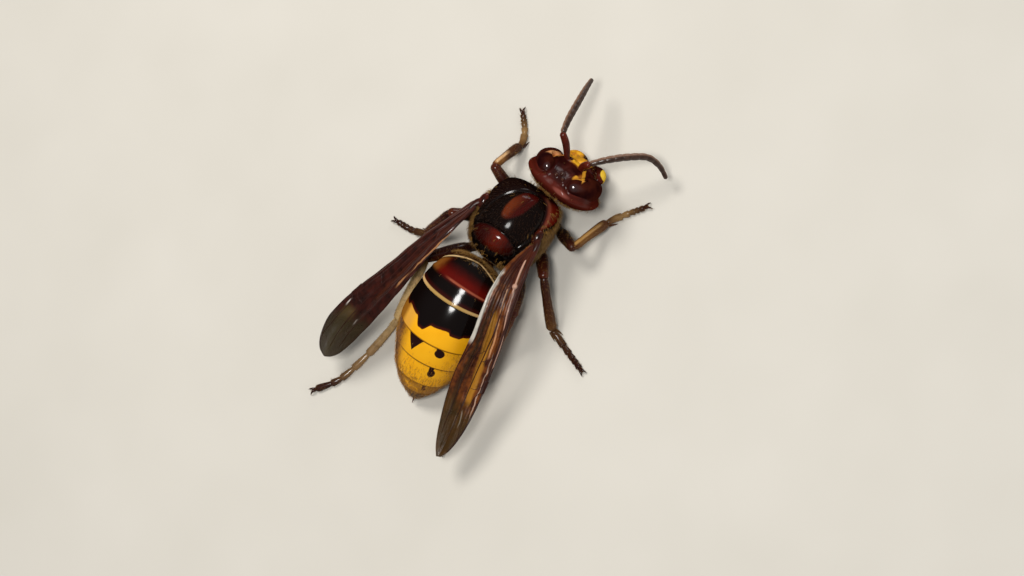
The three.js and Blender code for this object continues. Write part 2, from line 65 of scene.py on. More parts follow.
def bodyParts(points):  # left, forward and height of places in the frame
    return points[:, 0] - bodyZero['left'], -points[:, 1] - bodyZero['forward'], points[:, 2]


def hermite(near, far, slopeIn, slopeOut, step):
    cubic = 2 * near - 2 * far + slopeIn + slopeOut
    square = -3 * near + 3 * far - 2 * slopeIn - slopeOut
    return ((cubic * step + square) * step + slopeIn) * step + near


def runThrough(values, share):  # a smooth run through evenly spaced stations
    values = np.asarray(values, float)
    place = np.clip(share, 0, 1) * (len(values) - 1)
    index = np.minimum(np.floor(place).astype(int), len(values) - 2)
    near, far = values[index], values[index + 1]
    slopeIn = (far - values[np.maximum(index - 1, 0)]) / 2
    slopeOut = (values[np.minimum(index + 2, len(values) - 1)] - near) / 2
    return hermite(near, far, slopeIn, slopeOut, place - index)


def rise(value, low, high):  # 0 below low, 1 above high, smooth between
    share = np.clip((value - low) / (high - low), 0, 1)
    return share * share * (3 - 2 * share)


def bell(value, width):
    return np.exp(-(value / width) ** 2)


def oval(*spans):  # of values, middles and halves: below 1 inside, above 1 outside
    squares = [((value - middle) / half) ** 2 for value, middle, half in spans]
    return sum(squares[1:], squares[0])


def unit(vectors):
    return vectors / np.maximum(np.linalg.norm(vectors, axis=-1, keepdims=True), 1e-9)


def roundAngles(sides):  # one turn, as a row
    return np.linspace(0, 2 * np.pi, sides, endpoint=False)[None, :]


def fromPole(rows, edge):  # angles from pole to pole, as a column
    return np.linspace(edge, np.pi - edge, rows)[:, None]


def smoothPath(stations, count):  # at even steps, or at given shares, along a curve through the stations
    knots = [np.asarray(station, float) for station in stations]
    knots = [2 * knots[0] - knots[1]] + knots + [2 * knots[-1] - knots[-2]]

    def slope(one, two, three, early, late):  # of the curve at the middle one of three knots
        return (two - one) / early - (three - one) / (early + late) + (three - two) / late

    step = np.linspace(0, 1, 40, endpoint=False)[:, None]
    runs = []
    for first, start, end, last in zip(knots, knots[1:], knots[2:], knots[3:]):
        before, along, after = [
            max(np.linalg.norm(far - near), 1e-6) ** 0.5
            for near, far in ((first, start), (start, end), (end, last))
        ]
        slopeIn = slope(first, start, end, before, along) * along
        slopeOut = slope(start, end, last, along, after) * along
        runs.append(hermite(start, end, slopeIn, slopeOut, step))
    dense = np.concatenate(runs + [knots[-2][None]])
    travelled = np.concatenate([[0], np.cumsum(np.linalg.norm(np.diff(dense, axis=0), axis=1))])
    wanted = (np.linspace(0, 1, count) if np.isscalar(count) else count) * travelled[-1]
    return np.stack([np.interp(wanted, travelled, dense[:, axis]) for axis in range(3)], -1)


# Surfaces: points, faces, and marks that the finishes read

class Surface:
    def __init__(self, points, quads, triangles, marks):
        self.points, self.quads, self.triangles, self.marks = points, quads, triangles, marks

    def corners(self):  # every face as triangles
        return np.concatenate([self.quads[:, [0, 1, 2]], self.quads[:, [0, 2, 3]], self.triangles])

    def cornerPoints(self):
        return (self.points[column] for column in self.corners().T)

    def outwards(self):
        a, b, c = self.cornerPoints()
        if np.einsum('ij,ij->i', a, np.cross(b, c)).sum() < 0:
            self.quads = self.quads[:, ::-1]
            self.triangles = self.triangles[:, ::-1]
        return self

    def normals(self):
        a, b, c = self.cornerPoints()
        faceNormals = np.cross(b - a, c - a)
        total = np.zeros_like(self.points)
        for column in self.corners().T:
            np.add.at(total, column, faceNormals)
        return unit(total)


def together(surfaces):  # several closed surfaces as one, with 0 for a mark that one of them lacks
    shifted = list(zip(surfaces, np.cumsum([0] + [len(surface.points) for surface in surfaces])))
    names = sorted(set().union(*[surface.marks for surface in surfaces]))

    def joined(name):
        return np.concatenate([part.marks.get(name, np.zeros(len(part.points))) for part in surfaces])

    return Surface(
        np.concatenate([surface.points for surface in surfaces]),
        np.concatenate([surface.quads + offset for surface, offset in shifted]),
        np.concatenate([surface.triangles + offset for surface, offset in shifted]),
        {name: joined(name) for name in names},
    )


def ringSurface(rings, **marks):  # closed by a middle point at each end
    count, sides, _ = rings.shape
    points = np.concatenate([rings.reshape(-1, 3), rings[:1].mean(1), rings[-1:].mean(1)])
    ring = np.arange(count - 1)[:, None] * sides
    side = np.arange(sides)[None, :]
    after = (side + 1) % sides
    quads = np.stack([ring + side, ring + after, ring + sides + after, ring + sides + side], -1)
    side, after, last = side[0], after[0], (count - 1) * sides
    ends = np.concatenate([
        np.stack([after, side, np.full(sides, count * sides)], -1),
        np.stack([side + last, after + last, np.full(sides, count * sides + 1)], -1),
    ])
    spread = {}
    for name, values in marks.items():
        values = np.broadcast_to(values, (count, sides))
        spread[name] = np.concatenate([values.ravel(), [values[0].mean(), values[-1].mean()]])
    return Surface(points, quads.reshape(-1, 4), ends, spread).outwards()


def tube(middle, thick, across, upwards, sides, flat):  # rings of points round a line
    angle = roundAngles(sides)[..., None]
    spokes = np.cos(angle) * across[:, None] + flat * np.sin(angle) * upwards[:, None]
    return middle[:, None] + thick[:, None, None] * spokes


def limb(stations, radii, rings, sides, shape=None, flat=1.0, past=(0, 0)):
    # A limb with domed ends along a path, which may start and end a little past its stations
    stations = [np.asarray(station, float) for station in stations]
    stations[0] = stations[0] + unit(stations[0] - stations[1]) * past[0]
    stations[-1] = stations[-1] + unit(stations[-1] - stations[-2]) * past[1]
    share = (1 - np.cos(np.linspace(0.02, 0.98, rings) * np.pi)) / 2
    share = 0.45 * share + 0.55 * np.linspace(0.0005, 0.9995, rings)
    middle = smoothPath(stations, share)
    ahead = unit(np.gradient(middle, axis=0))
    across = [unit(np.cross(ahead[0], (0, 0, 1)))]
    for tangent in ahead[1:]:
        across.append(unit(across[-1] - tangent * np.dot(across[-1], tangent)))
    across = np.array(across)
    length = np.linalg.norm(np.diff(middle, axis=0), axis=1).sum()
    radius = runThrough(radii, share)
    fromEnd = np.clip(np.minimum(share * length / radius, (1 - share) * length / radius), 0, 1)
    thick = radius * (shape(share) if shape else 1) * np.sqrt(1 - (1 - fromEnd) ** 2)
    angle = roundAngles(sides)
    return ringSurface(
        tube(middle, thick, across, np.cross(ahead, across), sides, flat), along=share[:, None],
        around=np.abs(angle - np.pi) / np.pi, unwrapU=angle / (2 * np.pi), unwrapV=share[:, None])


def ball(middle, half, rows=20, sides=28):
    polar, angle = fromPole(rows, 0.03), roundAngles(sides)
    local = np.stack(np.broadcast_arrays(
        np.sin(polar) * np.cos(angle), np.sin(polar) * np.sin(angle), np.cos(polar)), -1)
    return ringSurface(local * half + middle, along=polar / np.pi, around=np.abs(angle - np.pi) / np.pi)


def addPiece(name, surface, finish, slotName, *nodes):
    surface.outwards()
    mesh = bpy.data.meshes.new(name)
    mesh.vertices.add(len(surface.points))
    mesh.vertices.foreach_set('co', (surface.points * metre).ravel())
    sizes = np.concatenate([np.full(len(surface.quads), 4), np.full(len(surface.triangles), 3)])
    loops = np.concatenate([surface.quads.ravel(), surface.triangles.ravel()])
    mesh.loops.add(len(loops))
    mesh.loops.foreach_set('vertex_index', loops)
    mesh.polygons.add(len(sizes))
    mesh.polygons.foreach_set('loop_start', np.concatenate([[0], np.cumsum(sizes)[:-1]]))
    mesh.update(calc_edges=True)
    for mark, values in surface.marks.items():
        if not mark.startswith('unwrap'):
            mesh.attributes.new(mark, 'FLOAT', 'POINT').data.foreach_set('value', values)
    mesh.shade_smooth()
    mesh.materials.append(finish.material)
    piece = bpy.data.objects.new(name, mesh)
    scene.collection.objects.link(piece)
    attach(piece, 'root')
    if nodes:
        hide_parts(*nodes)
    return piece


# Shader maths

def colour(text):  # a screen colour as light
    screen = [int(text[start:start + 2], 16) / 255 for start in (0, 2, 4)]
    light = [value / 12.92 if value < 0.04045 else ((value + 0.055) / 1.055) ** 2.4 for value in screen]
    return (*light, 1)


class Field:  # a socket that works in sums like a number
    def __init__(self, finish, socket):
        self.finish = finish
        self.socket = socket

    def math(self, operation, *values):
        return self.finish.node('ShaderNodeMath', {'operation': operation}, dict(enumerate(values)))

    __add__ = __radd__ = lambda self, other: self.math('ADD', self, other)
    __sub__ = lambda self, other: self.math('SUBTRACT', self, other)
    __rsub__ = lambda self, other: self.math('SUBTRACT', other, self)
    __mul__ = __rmul__ = lambda self, other: self.math('MULTIPLY', self, other)
    __truediv__ = lambda self, other: self.math('DIVIDE', self, other)
    __rtruediv__ = lambda self, other: self.math('DIVIDE', other, self)
    __pow__ = lambda self, other: self.math('POWER', self, other)
    __neg__ = lambda self: self * -1
    __abs__ = lambda self: self.math('ABSOLUTE', self)
    most = lambda self, other: self.math('MAXIMUM', self, other)
    least = lambda self, other: self.math('MINIMUM', self, other)

    def rises(self, low, high):  # 0 below low, 1 above high; low may be the larger one
        return self.finish.node('ShaderNodeMapRange', {'interpolation_type': 'SMOOTHSTEP'}, {
            'Value': self, 'From Min': low, 'From Max': high, 'To Min': 0.0, 'To Max': 1.0,
        })


class Finish:  # a material and the few ways its nodes are made
    def __init__(self, name):
        self.material = bpy.data.materials.new(name)
        self.material.use_nodes = True
        self.tree = self.material.node_tree
        self.shell = self.tree.nodes['Principled BSDF']
        self.shell.inputs['Specular IOR Level'].default_value = 0.5
        self.place = self.node('ShaderNodeTexCoord', {}, {}, 'Object')

    def feed(self, socket, value):  # with another socket, a number, or a colour's text
        if isinstance(value, Field):
            self.tree.links.new(value.socket, socket)
        else:
            socket.default_value = colour(value) if isinstance(value, str) else value

    def node(self, kind, settings, inputs, output=0):
        made = self.tree.nodes.new(kind)
        for name, value in settings.items():
            setattr(made, name, value)
        for name, value in inputs.items():
            self.feed(made.inputs[name], value)
        return Field(self, made.outputs[output])

    def set(self, **values):  # sockets of the shader, by name
        for name, value in values.items():
            self.feed(self.shell.inputs[name.replace('_', ' ')], value)

    def mix(self, share, one, other):  # two colours
        return self.node('ShaderNodeMix', {'data_type': 'RGBA'}, {0: share, 6: one, 7: other}, 2)

    def paint(self, base, *coats):  # each a share and a colour, over those before it
        for share, tone in coats:
            base = self.mix(share, base, tone)
        return base

    def mark(self, name):
        return self.node('ShaderNodeAttribute', {'attribute_name': name}, {}, 'Fac')

    def marks(self, *names):
        return [self.mark(name) for name in names]

    def body(self):  # left, forward and height in the body's own measure
        parts = self.tree.nodes.new('ShaderNodeSeparateXYZ')
        self.feed(parts.inputs[0], self.place)
        x, y, z = (Field(self, output) for output in parts.outputs)
        return x * 1000 - bodyZero['left'], y * -1000 - bodyZero['forward'], z * 1000

    def noise(self, size, depth=2.0, roughness=0.5):  # 0 to 1, with features of that many millimetres
        return self.node('ShaderNodeTexNoise', {}, {
            'Vector': self.place, 'Scale': 1 / (size * metre), 'Detail': depth, 'Roughness': roughness,
        })

    def pits(self, size):  # distance from scattered points, in cells
        cells = {'Vector': self.place, 'Scale': 1 / (size * metre)}
        return self.node('ShaderNodeTexVoronoi', {}, cells, 'Distance')

    def facing(self):  # 1 where the surface faces the eye, 0 at its rim
        return 1 - self.node('ShaderNodeLayerWeight', {}, {'Blend': 0.5}, 'Facing')

    def bump(self, height, depth, strength=1.0):  # depth in millimetres
        self.set(Normal=self.node('ShaderNodeBump', {}, {
            'Height': height, 'Distance': depth * metre, 'Strength': strength,
        }, 'Normal'))


def hornGloss(finish, base, rough, coat, pitSize, pitDepth=0.012, level=0.0, polish=1.0, coatRough=0.12):
    # Horn: polished, with fine pits and a faint orange-peel. The polish fades towards the rim,
    # where a pale floor would veil the dark colours.
    wear = finish.noise(0.9, 3.0)
    pits = finish.pits(pitSize).rises(0.0, 0.42)
    grain = finish.noise(0.07)
    finish.set(
        Base_Color=base,
        Roughness=rough + wear * 0.12 - 0.06 + (1 - pits) * 0.1,
        Specular_IOR_Level=level,
        Coat_Weight=finish.facing().rises(0.55, 0.9) * coat * polish,
        Coat_Roughness=coatRough,
        Coat_IOR=1.5,
    )
    finish.bump(pits * 0.75 + grain * 0.25, pitDepth)


# The camera looks down on the back at the photograph's angle

view = {
    'tilt': 19.0, 'ahead': (0.573, -0.82), 'lens': 100.0, 'distance': 284.44, 'pixelsPerMm': 10.0,
    'anchor': at(0.0, 0.0, 6.5), 'anchorPixel': (509.5, 221.0), 'middlePixel': (512.0, 288.0),
}


def addCamera():
    tilt = math.radians(view['tilt'])
    aheadX, aheadY = unit(np.array(view['ahead']))
    forward = np.array((0.0, -1.0, 0.0))
    rightSide = np.array((-math.cos(tilt), 0.0, -math.sin(tilt)))
    back = np.array((-math.sin(tilt), 0.0, math.cos(tilt)))
    toRight = -aheadY * rightSide + aheadX * forward
    toTop = -(aheadX * rightSide + aheadY * forward)
    offset = (np.array(view['anchorPixel']) - view['middlePixel']) / view['pixelsPerMm']
    target = view['anchor'] - offset[0] * toRight + offset[1] * toTop
    place = target + view['distance'] * back
    data = bpy.data.cameras.new('camera')
    data.lens = view['lens']
    data.clip_start = 0.01
    camera = bpy.data.objects.new('camera', data)
    turn = np.eye(4)
    turn[:3] = np.stack([toRight, toTop, back, place * metre], -1)
    camera.matrix_world = Matrix(turn.tolist())
    scene.collection.objects.link(camera)
    scene.camera = camera
    return target, toRight, toTop, back


target, viewRight, viewTop, viewBack = addCamera()

lights = {  # place (right, top, towards the camera), size, power, tint, and whether reflections show it
    'soft_key': ((-130, 150, 190), 100, 0.46, (1.0, 0.97, 0.93), False),
    'fill': ((190, -60, 140), 130, 0.1, (0.93, 0.96, 1.0), False),
    'back_rim': ((60, 210, 70), 80, 0.06, (1.0, 1.0, 1.0), True),
    'catch': ((-46, 12, 260), 62, 0.4, (1.0, 0.98, 0.95), True),
}
for lightName, (offset, size, power, tint, mirrored) in lights.items():
    lamp = bpy.data.lights.new(lightName, 'AREA')
    lamp.shape = 'DISK'
    lamp.size = size * metre
    lamp.energy = power
    lamp.color = tint
    lampObject = bpy.data.objects.new(lightName, lamp)
    lampPlace = target + offset[0] * viewRight + offset[1] * viewTop + offset[2] * viewBack
    lampObject.location = lampPlace * metre
    lampObject.visible_glossy = mirrored
    lampObject.rotation_euler = Vector((lampPlace - target).tolist()).to_track_quat('Z', 'Y').to_euler()
    scene.collection.objects.link(lampObject)

world = bpy.data.worlds.new('studio')
scene.world = world
world.use_nodes = True
world.node_tree.nodes['Background'].inputs[0].default_value = (0.95, 0.97, 1.0, 1)
world.node_tree.nodes['Background'].inputs[1].default_value = 0.14
scene.view_settings.view_transform = 'Standard'

floorFinish = Finish('pale_floor')
floorFinish.set(Base_Color=floorFinish.mix(floorFinish.noise(14.0), 'c9c5bb', 'd3cfc6'), Roughness=0.85)
floorMesh = bpy.data.meshes.new('floor')
floorHalf = 0.9  # metres
floorCorners = [(x * floorHalf, y * floorHalf, 0) for x, y in ((-1, -1), (1, -1), (1, 1), (-1, 1))]
floorMesh.from_pydata(floorCorners, [], [(0, 1, 2, 3)])
floorMesh.materials.append(floorFinish.material)
floor = bpy.data.objects.new('floor', floorMesh)
scene.collection.objects.link(floor)
print('stage, camera and lights made')


# Hair: thin tapered blades in small tufts, combed along the body

def combedBack(points, normals):
    return np.broadcast_to((0.0, 1.0, -0.25), points.shape)


def growHair(name, surface, finish, slotName, style, density, lie=combedBack):
    draw = np.random.default_rng(style['seed'])
    tufts, strands = fine(style['tufts']), style['strands']
    corners = surface.corners()
    a, b, c = surface.cornerPoints()
    faces = np.cross(b - a, c - a)
    weight = np.linalg.norm(faces, axis=1) * np.clip(density((a + b + c) / 3, unit(faces)), 0, None)
    chosen = draw.choice(len(corners), tufts, p=weight / weight.sum())
    shares = draw.dirichlet((1, 1, 1), tufts)
    root = np.einsum('ij,ijk->ik', shares, surface.points[corners[chosen]])
    normal = unit(np.einsum('ij,ijk->ik', shares, surface.normals()[corners[chosen]]))
    unwrap = np.stack([surface.marks['unwrapU'], surface.marks['unwrapV']], -1)[corners[chosen, 0]]
    root, normal, unwrap = (np.repeat(values, strands, axis=0) for values in (root, normal, unwrap))
    count = len(root)

    def alongSkin(flow):
        return unit(flow - normal * np.sum(flow * normal, axis=1, keepdims=True))

    flow = alongSkin(lie(root, normal))
    flow = alongSkin(unit(flow + draw.normal(0, style['stray'], (count, 3))))
    lift = np.clip(draw.normal(style['lift'], style['lift'] * 0.35, (count, 1)), 0.08, 1.5)
    length = style['length'] * draw.uniform(0.55, 1.15, (count, 1))
    root = root + flow * draw.uniform(-0.04, 0.04, (count, 1)) - normal * 0.03
    early, late = (unit(normal * np.sin(angle) + flow * np.cos(angle)) for angle in (lift, lift * 0.45))
    bend = root + early * length * 0.5
    tip = bend + late * length * 0.5
    sideways = unit(np.cross(early, normal + 0.01))
    upright = np.cross(sideways, early)
    angle = np.array([0.0, 2.0944, 4.18879])[None, :, None]  # the three edges of a blade
    spokes = np.cos(angle) * sideways[:, None] + np.sin(angle) * upright[:, None]
    width = style['width'] / 2
    points = np.concatenate([
        root[:, None] + spokes * width, bend[:, None] + spokes * width * 0.7, tip[:, None],
    ], axis=1)
    points[..., 2] = np.maximum(points[..., 2], 0.01)  # above the floor
    first = np.arange(count)[:, None, None] * 7
    quads = (first + np.array([[0, 1, 4, 3], [1, 2, 5, 4], [2, 0, 3, 5]])).reshape(-1, 4)
    triangles = (first + np.array([[3, 4, 6], [4, 5, 6], [5, 3, 6], [2, 1, 0]])).reshape(-1, 3)
    tone = np.repeat(draw.uniform(0, 1, count), 7)
    piece = addPiece(name, Surface(points.reshape(-1, 3), quads, triangles, {'tone': tone}), finish, slotName)
    within = np.array([[0, 0], [1, 0], [0.5, 0.4], [0.1, 0.6], [0.9, 0.6], [0.5, 0.8], [0.5, 1]])
    uv = (unwrap[:, None] * 0.98 + 0.01 + (within * 0.003 - 0.0015)).reshape(-1, 2)
    loops = np.empty(len(piece.data.loops), int)
    piece.data.loops.foreach_get('vertex_index', loops)
    piece.data.uv_layers.new(name='OFBake').data.foreach_set('uv', uv[loops].ravel())


def hairFinish(name, light, dark):
    finish = Finish(name)
    finish.set(Base_Color=finish.mix(finish.mark('tone'), dark, light), Roughness=0.45)
    return finish


goldHair = hairFinish('golden_hair', 'a67c3c', '5e3e18')
brownHair = hairFinish('brown_hair', '4a2c16', '1c0f08')
paleHair = hairFinish('pale_gold_hair', 'cf922c', '7e4e16')
print('hair ready')

# Thorax: collar, shield, cushion and rear as plates of one shell, parted by sutures

thorax = {
    'forward': [4.35, 4.2, 3.65, 2.3, 0.4, -1.4, -2.9, -3.9, -4.45],
    'height': [4.5, 4.6, 4.85, 5.0, 5.05, 5.0, 4.85, 4.6, 4.4],
    'side': [0.9, 1.95, 3.0, 3.65, 3.85, 3.75, 3.35, 2.5, 1.2],
    'up': [0.85, 1.6, 2.6, 3.3, 3.6, 3.55, 2.95, 1.95, 0.95],
    'down': [0.8, 1.6, 2.6, 3.15, 3.35, 3.3, 3.0, 2.3, 1.1],
    'bend': {'left': 0.1, 'forward': -2.2, 'slope': -0.235},  # the plates' midline turns to the head
    'shield': {'forward': -0.35, 'halfWidth': 2.75, 'halfLength': 4.1},
    'cushion': {'forward': -2.5, 'halfWidth': 2.75, 'halfLength': 1.15, 'rise': 0.42},
    'ridge': {'forward': -3.85, 'halfWidth': 2.1, 'halfLength': 0.3, 'rise': 0.16},
    'suture': 0.1,
}


def thoraxSurface():
    share, angle = np.linspace(0, 1, fine(260))[:, None], roundAngles(fine(280))
    upright = np.sin(angle)
    tall = np.where(upright > 0, runThrough(thorax['up'], share), runThrough(thorax['down'], share))
    surface = ringSurface(at(
        runThrough(thorax['forward'], share),
        np.cos(angle) * runThrough(thorax['side'], share),
        runThrough(thorax['height'], share) + upright * tall,
    ), unwrapU=angle / (2 * np.pi), unwrapV=share)
    left, forward, height = bodyParts(surface.points)
    onTop = rise(height, 5.9, 6.8)
    bend = thorax['bend']
    fromBend = forward - bend['forward']
    across = left - bend['left'] - bend['slope'] * (fromBend + np.sqrt(fromBend ** 2 + 0.4)) / 2
    shield, cushion, ridge = thorax['shield'], thorax['cushion'], thorax['ridge']
    width = thorax['suture']

    def within(plate):  # millimetres inside a plate's oval edge, seen from above
        oval = np.hypot(across / plate['halfWidth'], (forward - plate['forward']) / plate['halfLength'])
        return (1 - oval) * min(plate['halfWidth'], plate['halfLength'])

    inShield, inCushion, inRidge = within(shield), within(cushion), within(ridge)
    swell = onTop * (0.1 * rise(inShield, 0, 0.6) + 0.1 * rise(inShield, 0.4, 2.6))
    swell *= 1 - rise(inCushion, -0.1, 0.2)
    swell += onTop * cushion['rise'] * np.sqrt(rise(inCushion, 0, 0.9))
    swell += ridge['rise'] * rise(inRidge, 0, 0.25) * rise(height, 5.6, 6.2)
    beforeShield = (forward + 0.75 * height) / 1.25 - 4.76
    outside = 1 - np.maximum(onTop * rise(inShield, -0.1, 0.1), 0)
    sideWall = rise(np.abs(left), 2.2, 2.9) * (1 - onTop)
    frontSeam = forward + 0.35 + 0.22 * (height - 5)
    rearSeam = forward + 2.35 + 0.3 * (height - 5)
    crossSeam = (height - 4.7) * 0.9
    crease = np.maximum.reduce([
        onTop * bell(inShield, width) * (1 - rise(inCushion, -0.2, 0.1)),
        onTop * bell(inCushion, width * 1.3),
        bell(inRidge, width) * rise(height, 5.4, 6.0) * (forward < -3.0),
        bell(beforeShield, width) * outside * rise(forward, 0.2, 0.6),
        sideWall * bell(frontSeam, width) * rise(height, 2.6, 3.2),
        sideWall * bell(rearSeam, width),
        sideWall * bell(crossSeam, width) * (forward > -0.4) * (forward < 1.9),
    ])
    furrow = bell(left, 0.3) * rise(-forward, 4.0, 4.3) * rise(height, 4.6, 5.4)
    midline = onTop * rise(inShield, 0.2, 0.8) * bell(across, 0.06) * rise(forward, 0.4, 1.4)
    laterals = onTop * rise(inShield, 0.15, 0.5) * bell(np.abs(across) - 1.75, 0.06)
    laterals *= 1 - rise(forward, 0.6, 1.6)
    swell += sideWall * 0.16 * bell(forward - 0.6, 1.1) * bell(height - 3.7, 1.0)
    swell += sideWall * 0.12 * bell(forward + 1.5, 0.7) * bell(height - 4.6, 1.3)
    swell += 0.1 * rise(beforeShield, 0, 0.5) * outside
    swell -= 0.13 * crease + 0.12 * furrow + 0.025 * (midline + laterals)
    surface.points += surface.normals() * (swell - 0.06)[:, None]
    surface.marks.update({
        'crease': np.clip(crease + 0.5 * furrow + 0.45 * (midline + laterals), 0, 1),
        'collar': rise(beforeShield, -0.02, 0.06) * outside,
        'shield': onTop * rise(inShield, 0.0, 0.12) * (1 - rise(inCushion, -0.1, 0.05)),
        'cushion': onTop * rise(inCushion, 0.0, 0.12),
        'collarEdge': onTop * bell(inShield + 0.17, 0.09) * rise(forward, 0.3, 0.9),
        'across': across,
    })
    return surface


def thoraxFinish():
    finish = Finish('thorax_horn')
    left, forward, height = finish.body()
    collar, collarEdge, shield, cushion, crease, across = finish.marks(
        'collar', 'collarEdge', 'shield', 'cushion', 'crease', 'across')
    wander = (finish.noise(1.6, 3.0) - 0.5) * 1.1
    # The shield is black, with an ember patch on the front half of its middle
    reach = oval((across, 0.28, 1.0), (forward, 1.95, 2.2))
    patch = (1 - reach + wander * 0.6).rises(-0.1, 0.35) * shield
    glow = (across - 0.1 * forward + wander * 0.25).rises(-0.35, 0.6) * (forward + wander).rises(3.2, 1.7)
    onCushion = cushion * (1 - (abs(left + 0.3) + wander * 0.3).rises(2.1, 2.8) * 0.6)
    cushionGlow = (1 - abs(left + 0.7) / 1.5 + wander * 0.4).rises(0.0, 0.9)
    # The collar is red on its right lobe; its left lobe is kept near black as painted shade
    onCollar = collar * height.rises(3.4, 4.8) * ((-across + wander * 0.4).rises(-0.5, 0.5) * 0.9 + 0.1)
    collarGlow = (1 - oval((across, -2.1, 1.1)) + wander * 0.5).rises(-0.2, 1.0)
    base = finish.paint(
        finish.mix(finish.noise(2.2, 3.0) * 0.5, '0b0807', '1a0c08'),
        (onCollar, finish.mix(collarGlow, '2a0604', '5e1509')),
        (patch, finish.mix(glow, '380805', '5e260e')),
        (onCushion, finish.mix(cushionGlow, '2c0705', '561509')),
        # a pale pinkish line along the collar's edge on the right side is a painted highlight
        (collarEdge * (-across).rises(0.2, 0.9) * 0.42, 'a8654a'),
        (crease * 0.85, '050303'),
    )
    matt = shield * (1 - patch)
    hornGloss(finish, base, rough=matt * 0.14 + 0.32, coat=0.7, pitSize=0.2, polish=1 - matt * 0.6)
    return finish


thoraxSkin = thoraxSurface()
addPiece('thorax_shell', thoraxSkin, thoraxFinish(), 'chitin_black',
         'thorax_pronotum', 'thorax_mesothorax', 'thorax_scutellum', 'thorax_propodeum')
print('thorax made')

# Head: skull with face shield, feeler sockets and crown eyes, in its own left, up and out

head = {
    'forward': 6.65, 'left': -1.85, 'height': 4.75, 'pitch': 20, 'yaw': -5, 'roll': -3,
    'halfWidth': 3.75, 'halfHeight': 3.3, 'front': 2.0, 'rear': 1.85,
    'eye': {'place': (2.56, 0.6, 0.66), 'half': (1.24, 2.52, 1.26), 'lean': 0.82},
    'notch': {'place': (1.25, 1.2, 1.85), 'half': (1.0, 0.7, 1.1)},
    'faceShield': {'place': (0, -1.75, 1.15), 'half': (1.75, 1.5, 1.15)},
    'socket': {'left': 0.78, 'up': 0.15, 'radius': 0.42},
    'crownEyes': [(-0.15, 2.8, 1.2), (0.27, 3.02, 0.82), (-0.57, 3.02, 0.82)],
}


def headTurn():  # columns are the head's left, down-and-back and up directions in the frame
    turnX, turnY, turnZ = (
        Matrix.Rotation(math.radians(sign * head[name]), 3, axis)
        for name, sign, axis in (('pitch', -1, 'X'), ('roll', 1, 'Y'), ('yaw', 1, 'Z')))
    return np.array(turnZ @ turnY @ turnX)


headMatrix = headTurn()
headMiddle = at(head['forward'], head['left'], head['height'])


def onHead(left, up, out):
    local = np.stack(np.broadcast_arrays(left, -np.asarray(out, float), up), -1).astype(float)
    return local @ headMatrix.T + headMiddle


def headLocal(points):  # left, up and out of places in the frame
    local = (points - headMiddle) @ headMatrix
    return local[..., 0], local[..., 2], -local[..., 1]


def eyeLean(up):  # the upper ends of the eyes lean towards each other
    return head['eye']['lean'] * rise(up - head['eye']['place'][1], 0.1, head['eye']['half'][1] * 1.1)


def fromEyes(left, up, out):  # 1 at the edge of an eye, more outside
    mirrored = np.stack([np.abs(left) + eyeLean(up), up, out], -1)
    return np.linalg.norm((mirrored - head['eye']['place']) / head['eye']['half'], axis=-1)


def headOval(name):
    return (np.array(head[name][key]) for key in ('place', 'half'))


